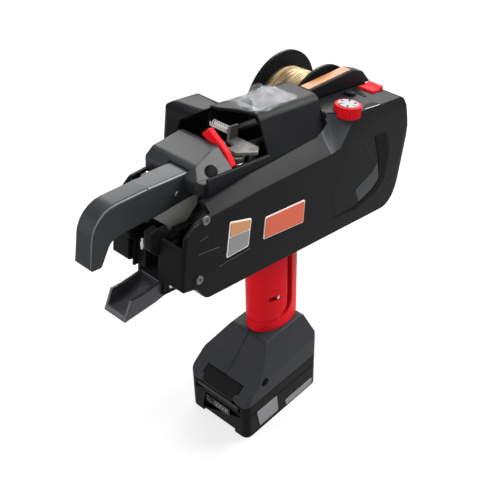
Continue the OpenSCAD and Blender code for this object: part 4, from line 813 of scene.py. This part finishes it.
class TYINGTOOL_OT_clear_film(Operator):
    """Lays the creased clear film over the wire window's cover"""
    bl_idname = "tyingtool.clear_film"
    bl_label = "Clear film"

    CELLS = (44, 60)
    TOP = 0.1239
    BEND, HINGE = (-0.023, TOP), (-0.0446, 0.1140)
    SHEET_T, GAP = 0.00025, 0.0006
    SMOOTH = 0.35
    # Across the hood: how far back and how far forward the film reaches
    REACH = ((-0.0340, 0.0330, 0.0650), (-0.0286, 0.0246, 0.0710), (-0.0143, 0.0229, 0.0745),
             (0.0117, 0.0323, 0.0745), (0.0140, 0.0333, 0.0635), (0.0175, 0.0410, 0.0600))

    # Large and small creases: share of the rise, noise scales along and across, noise layer
    CREASES = ((0.62, 52, 46, 3.1), (0.28, 120, 105, 7.7))
    CREASE_SHARP = 2.2

    def edges(self, y):
        """Rear and front reach of the film at one place across the hood."""
        for low, high in zip(self.REACH, self.REACH[1:]):
            if y <= high[0]:
                share = (y - low[0]) / (high[0] - low[0])
                return tuple(a + (b - a) * share for a, b in zip(low[1:], high[1:]))
        return self.REACH[-1][1:]

    def height(self, y):
        """Height of the cover across the hood: flat, then down past its hinge."""
        if y > self.BEND[0]:
            return self.TOP
        share = (y - self.BEND[0]) / (self.HINGE[0] - self.BEND[0])
        return self.BEND[1] + (self.HINGE[1] - self.BEND[1]) * share

    def crease(self, x, y):
        """Height of the creases at one place, as a share of the film's rise."""
        total = 0.0
        for share, along, across, layer in self.CREASES:
            wave = abs(noise.noise(Vector((x * along, y * across, layer))))
            total += share * (1 - wave * self.CREASE_SHARP)
        return max(0.0, total)

    def execute(self, context):
        bm = bmesh.new()
        cells = bmesh.ops.create_grid(bm, x_segments=self.CELLS[0], y_segments=self.CELLS[1],
                                      size=0.5)["verts"]
        far, near = self.REACH[0][0], self.REACH[-1][0]
        for v in cells:
            y = far + (near - far) * (v.co.y + 0.5)
            rear, front = self.edges(y)
            x = rear + (front - rear) * (v.co.x + 0.5)
            lift = sizes().film_rise * self.crease(x, y)
            v.co = Vector((x, y, self.height(y) + self.GAP + lift))
        bmesh.ops.smooth_vert(bm, verts=list(bm.verts), factor=self.SMOOTH, use_axis_z=True)
        bmesh.ops.solidify(bm, geom=list(bm.faces), thickness=self.SHEET_T)
        finish_piece("cover_film", bm, "window", "film", BODY)
        return {"FINISHED"}


class TYINGTOOL_OT_body_plates(Operator):
    """Fits the bare plates of the body and the guard's strip"""
    bl_idname = "tyingtool.body_plates"
    bl_label = "Body plates"

    PLATE_T = 0.0005
    BORDER = 0.0009
    PLATE_R, FIELD_R, STRIP_R = 0.0016, 0.0008, 0.0014
    # Fore and up from the body's frame
    SIDE_PLATE = ((0.0800, 0.0505), (0.0312, 0.0502), (0.0290, 0.0282), (0.0792, 0.0302))
    LABEL_PLATE = ((0.1212, 0.0610), (0.0968, 0.0560), (0.0968, 0.0310), (0.1212, 0.0295))
    LABEL_TOP = ((0.1200, 0.0597), (0.0980, 0.0550), (0.0980, 0.0470), (0.1200, 0.0480))
    LABEL_LOW = ((0.1200, 0.0470), (0.0980, 0.0460), (0.0980, 0.0322), (0.1200, 0.0307))
    STRIP_REAR, STRIP_FRONT = (-0.0670, 0.12683), (-0.0100, 0.12120)
    STRIP_SIDE = (-0.0084, 0.0004)

    def side_plate(self, name, corners, finish, layer, radius):
        points = [Vector((x, BODY_SIDE_Y + layer * self.PLATE_T, z)) for x, z in corners]
        bm = round_plate(points, Vector((0, self.PLATE_T, 0)), radius, self.PLATE_T / RIM_PART)
        finish_piece(name, bm, "tool", finish, BODY)

    def guard_strip(self):
        (rear_x, rear_z), (front_x, front_z) = self.STRIP_REAR, self.STRIP_FRONT
        far, near = self.STRIP_SIDE
        along = Vector((front_x - rear_x, 0, front_z - rear_z))
        out = Vector((-along.z, 0, along.x)).normalized()
        points = [Vector((front_x, far, front_z)), Vector((front_x, near, front_z)),
                  Vector((rear_x, near, rear_z)), Vector((rear_x, far, rear_z))]
        bm = round_plate(points, out * self.PLATE_T, self.STRIP_R, self.PLATE_T / RIM_PART)
        finish_piece("guard_strip", bm, "tool", "strip", BODY)

    def execute(self, context):
        inner = shrink(self.SIDE_PLATE, self.BORDER)
        self.side_plate("side_plate_border", self.SIDE_PLATE, "border", 0, self.PLATE_R)
        self.side_plate("side_plate", inner, "plate", 1, self.PLATE_R)
        self.side_plate("label_border", self.LABEL_PLATE, "border", 0, self.PLATE_R)
        self.side_plate("label_upper_field", self.LABEL_TOP, "tan", 1, self.FIELD_R)
        self.side_plate("label_lower_field", self.LABEL_LOW, "silver", 1, self.FIELD_R)
        self.guard_strip()
        return {"FINISHED"}


class TYINGTOOL_OT_body_ribs(Operator):
    """Raises the thin ribs of the body's left side, and lays on its deck dark marks as painted shade and a light
    line as a painted highlight
    """
    bl_idname = "tyingtool.body_ribs"
    bl_label = "Body ribs"

    RIB_W, RIB_H = 0.0009, 0.0006
    BAR_ROUND = 0.4
    SLOT_W = RIB_W * 5
    WEDGE_R = 0.0008
    # Fore and up from the body's frame
    RIBS = (((0.1528, 0.0447), (0.1306, 0.0430)), ((0.1529, 0.0560), (0.1438, 0.0574)),
            ((0.1296, 0.0250), (0.0941, 0.0281)))
    # Fore and left on the deck
    DECK_Z = 0.110
    SLOT = ((-0.0704, 0.0049), (-0.0640, 0.0221))
    WEDGE = ((-0.0405, 0.0372), (-0.0620, 0.0384), (-0.0580, 0.0320), (-0.0460, 0.0335))
    EDGE_HIGHLIGHT = ((-0.0400, 0.0384), (-0.0600, 0.0396))

    def on_deck(self, places):
        return [Vector((x, y, self.DECK_Z)) for x, y in places]

    def bar(self, a, b, way, width):
        """A slim bar between two points, standing out along way."""
        side = (b - a).cross(way).normalized() * (width / 2)
        return round_plate([a + side, b + side, b - side, a - side], way,
                           width * self.BAR_ROUND, way.length / RIM_PART)

    def execute(self, context):
        bm = bmesh.new()
        for rib in self.RIBS:
            ends = [Vector((x, BODY_SIDE_Y, z)) for x, z in rib]
            join_bmesh(bm, self.bar(*ends, Vector((0, self.RIB_H, 0)), self.RIB_W))
        finish_piece("side_ribs", bm, "tool", "satin", BODY, merge=False)
        # The dark slot and wedge on the deck are painted shade
        rise = Vector((0, 0, self.RIB_H / 2))
        shade_marks = self.bar(*self.on_deck(self.SLOT), rise, self.SLOT_W)
        wedge = round_plate(self.on_deck(self.WEDGE), rise, self.WEDGE_R, rise.z / RIM_PART)
        join_bmesh(shade_marks, wedge)
        finish_piece("deck_shade_marks", shade_marks, "tool", "ink_and_shade", BODY, merge=False)
        # A light bar along the deck's left edge: a painted highlight
        edge_highlight = self.bar(*self.on_deck(self.EDGE_HIGHLIGHT), rise, self.RIB_W)
        finish_piece("deck_edge_highlight", edge_highlight, "tool", "silver", BODY)
        return {"FINISHED"}


class TYINGTOOL_OT_rear_panel(Operator):
    """Fits the panel at the rear of the left side, and a raised dark band that paints the shade of its groove"""
    bl_idname = "tyingtool.rear_panel"
    bl_label = "Rear panel"

    SINK = 0.0008
    RISE = 0.0003
    PANEL_RISE, GROOVE_RISE = RISE / 10, RISE * 1.4
    PANEL_R, GROOVE_R, LEDGE_R = 0.004, 0.0028, 0.0016
    # Fore and up from the body's frame
    PANEL = ((-0.0955, 0.0236), (-0.0212, 0.0150), (-0.0048, 0.0362), (-0.0176, 0.0850),
             (-0.0418, 0.0838))
    GROOVE = ((-0.0580, 0.0825), (-0.0760, 0.0820), (-0.0870, 0.0590), (-0.0870, 0.0340),
              (-0.0780, 0.0220), (-0.0500, 0.0140), (-0.0120, 0.0165), (-0.0480, 0.0185),
              (-0.0700, 0.0270), (-0.0780, 0.0360), (-0.0710, 0.0560))
    LEDGE = ((-0.0700, 0.0540), (-0.0640, 0.0460), (-0.0420, 0.0350), (-0.0500, 0.0210),
             (-0.0690, 0.0285), (-0.0768, 0.0365))

    def side_piece(self, name, corners, sink, rise, radius, finish):
        points = [Vector((x, BODY_SIDE_Y - sink, z)) for x, z in corners]
        bm = round_plate(points, Vector((0, sink + rise, 0)), radius, self.RISE / RIM_PART)
        finish_piece(name, bm, "tool", finish, BODY)

    def execute(self, context):
        self.side_piece("rear_panel", self.PANEL, self.SINK, self.PANEL_RISE, self.PANEL_R, "shell")
        # A raised dark band, not a cut groove: painted shade
        self.side_piece("rear_groove_shade", self.GROOVE, 0, self.GROOVE_RISE, self.GROOVE_R, "ink_and_shade")
        self.side_piece("rear_ledge", self.LEDGE, 0, self.RISE, self.LEDGE_R, "lighter_grey")
        return {"FINISHED"}


class TYINGTOOL_OT_dial_marks(Operator):
    """Puts plain numbers on the dial's disc"""
    bl_idname = "tyingtool.dial_marks"
    bl_label = "Dial marks"

    TOP = 0.1161
    RADIUS = 0.0064
    FIGURE = 0.0050
    DEPTH = 0.0002
    COUNT = 6

    def execute(self, context):
        bm = bmesh.new()
        for k in range(self.COUNT):
            figure = digit_bmesh(str(k + 1), self.FIGURE, self.DEPTH)
            middle = Matrix.Translation((DIAL_AT.x, DIAL_AT.y, self.TOP + self.DEPTH / 2))
            turn = Matrix.Rotation(-FULL_TURN * k / self.COUNT, 4, "Z")
            out = Matrix.Translation((0, self.RADIUS, 0))
            bmesh.ops.transform(figure, matrix=middle @ turn @ out, verts=figure.verts)
            join_bmesh(bm, figure)
        finish_piece("dial_numbers", bm, "dial", "ink_and_shade", BODY)
        return {"FINISHED"}


class TYINGTOOL_OT_battery_trim(Operator):
    """Fits the gauge window, its lamps and the bare plates of the battery"""
    bl_idname = "tyingtool.battery_trim"
    bl_label = "Battery trim"

    SIDE_Y = 0.0365
    PLATE_T, PLATE_R = 0.0004, 0.0016
    PLATES = (("battery_plate_front",
               ((0.0370, 0.0275), (0.0090, 0.0275), (0.0070, 0.0060), (0.0330, 0.0060))),
              ("battery_plate_rear",
               ((-0.0030, 0.0110), (-0.0430, 0.0110), (-0.0430, 0.0030), (-0.0050, 0.0030))))
    WINDOW_Y, WINDOW_HALF = 0.0045, (0.0085, 0.0031)
    WINDOW_R, WINDOW_RIM = 0.0012, 0.0005
    LAMP_Y = (-0.0012, 0.0026, 0.0064, 0.0102)
    LAMP_HALF, LAMP_R = 0.0011, 0.0004
    SQUARE = ((1, 1), (-1, 1), (-1, -1), (1, -1))

    def plates(self):
        for name, corners in self.PLATES:
            points = [Vector((x, self.SIDE_Y, z)) for x, z in corners]
            bm = round_plate(points, Vector((0, self.PLATE_T, 0)), self.PLATE_R,
                             self.PLATE_T / RIM_PART)
            finish_piece(name, bm, "battery", "silver", GROUND)

    def window(self, x, z, out):
        """The thin frame round the gauge's lamps."""
        bm = bmesh.new()
        outline = rounded_rect(*self.WINDOW_HALF, self.WINDOW_R)
        field = outline_face(bm, [Vector((x, self.WINDOW_Y + a, z + b)) for a, b in outline])
        bm.normal_update()
        bmesh.ops.inset_region(bm, faces=[field], thickness=self.WINDOW_RIM, use_boundary=True,
                               use_even_offset=True)
        bmesh.ops.delete(bm, geom=[field], context="FACES_ONLY")
        thicken(bm, bm.faces[:], out)
        finish_piece("gauge_window", bm, "battery", "pale", GROUND)

    def lamps(self, x, z, out):
        bm = bmesh.new()
        for y in self.LAMP_Y:
            points = [Vector((x, y + a * self.LAMP_HALF, z + b * self.LAMP_HALF))
                      for a, b in self.SQUARE]
            join_bmesh(bm, round_plate(points, out, self.LAMP_R, self.PLATE_T / RIM_PART))
        finish_piece("gauge_lamps", bm, "battery", "lamp", GROUND, merge=False)

    def execute(self, context):
        low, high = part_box("gauge_panel")
        front = (high.x, (low.z + high.z) / 2, Vector((self.PLATE_T, 0, 0)))
        self.plates()
        self.window(*front)
        self.lamps(*front)
        return {"FINISHED"}


class TYINGTOOL_OT_reel_ribs(Operator):
    """Raises the ribs of the reel's outer flange"""
    bl_idname = "tyingtool.reel_ribs"
    bl_label = "Reel ribs"

    COUNT = 8
    INNER, OUTER = 0.016, 0.043
    RIB_W, RIB_H = 0.0022, 0.0008
    RIB_ROUND = 0.3

    def execute(self, context):
        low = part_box("right_flange")[0]
        middle = Vector(JOINTS["reel_spin"]["pos_m"])
        foot = Vector((middle.x, low.y, middle.z))
        way = Vector((0, -self.RIB_H, 0))
        bm = bmesh.new()
        for k in range(self.COUNT):
            turn = FULL_TURN * k / self.COUNT
            along = Vector((math.cos(turn), 0, math.sin(turn)))
            side = Vector((-along.z, 0, along.x)) * (self.RIB_W / 2)
            points = [foot + along * self.INNER + side, foot + along * self.OUTER + side,
                      foot + along * self.OUTER - side, foot + along * self.INNER - side]
            rib = round_plate(points, way, self.RIB_W * self.RIB_ROUND, self.RIB_H / RIM_PART)
            join_bmesh(bm, rib)
        finish_piece("flange_ribs", bm, "reel", "reel", GROUND, merge=False)
        return {"FINISHED"}


class TYINGTOOL_PT_panel(Panel):
    """Lists the tool's pieces"""
    bl_label = "Tying tool"
    bl_idname = "TYINGTOOL_PT_panel"
    bl_space_type = "VIEW_3D"
    bl_region_type = "UI"
    bl_category = "Tying Tool"

    def draw(self, context):
        for kind in PIECES:
            self.layout.operator(kind.bl_idname)
        for group in (context.scene.tying_tool_colours, context.scene.tying_tool_sizes):
            for key in group.__annotations__:
                self.layout.prop(group, key)


PIECES = (TYINGTOOL_OT_stage, TYINGTOOL_OT_solid_finishes, TYINGTOOL_OT_round_shells,
          TYINGTOOL_OT_wound_wire, TYINGTOOL_OT_feed_spring, TYINGTOOL_OT_clear_film,
          TYINGTOOL_OT_body_plates, TYINGTOOL_OT_body_ribs, TYINGTOOL_OT_rear_panel,
          TYINGTOOL_OT_dial_marks, TYINGTOOL_OT_battery_trim, TYINGTOOL_OT_reel_ribs)
CLASSES = (ToolColours, ToolSizes) + PIECES + (TYINGTOOL_PT_panel,)


def register():
    for kind in CLASSES:
        bpy.utils.register_class(kind)
    bpy.types.Scene.tying_tool_colours = PointerProperty(type=ToolColours)
    bpy.types.Scene.tying_tool_sizes = PointerProperty(type=ToolSizes)


def unregister():
    del bpy.types.Scene.tying_tool_sizes
    del bpy.types.Scene.tying_tool_colours
    for kind in reversed(CLASSES):
        bpy.utils.unregister_class(kind)


def main():
    register()
    bpy.ops.tyingtool.stage()
    bpy.ops.tyingtool.solid_finishes()
    bpy.ops.tyingtool.round_shells()
    bpy.ops.tyingtool.wound_wire()
    bpy.ops.tyingtool.feed_spring()
    bpy.ops.tyingtool.clear_film()
    bpy.ops.tyingtool.body_plates()
    bpy.ops.tyingtool.body_ribs()
    bpy.ops.tyingtool.rear_panel()
    bpy.ops.tyingtool.dial_marks()
    bpy.ops.tyingtool.battery_trim()
    bpy.ops.tyingtool.reel_ribs()


if __name__ == "__main__":
    main()
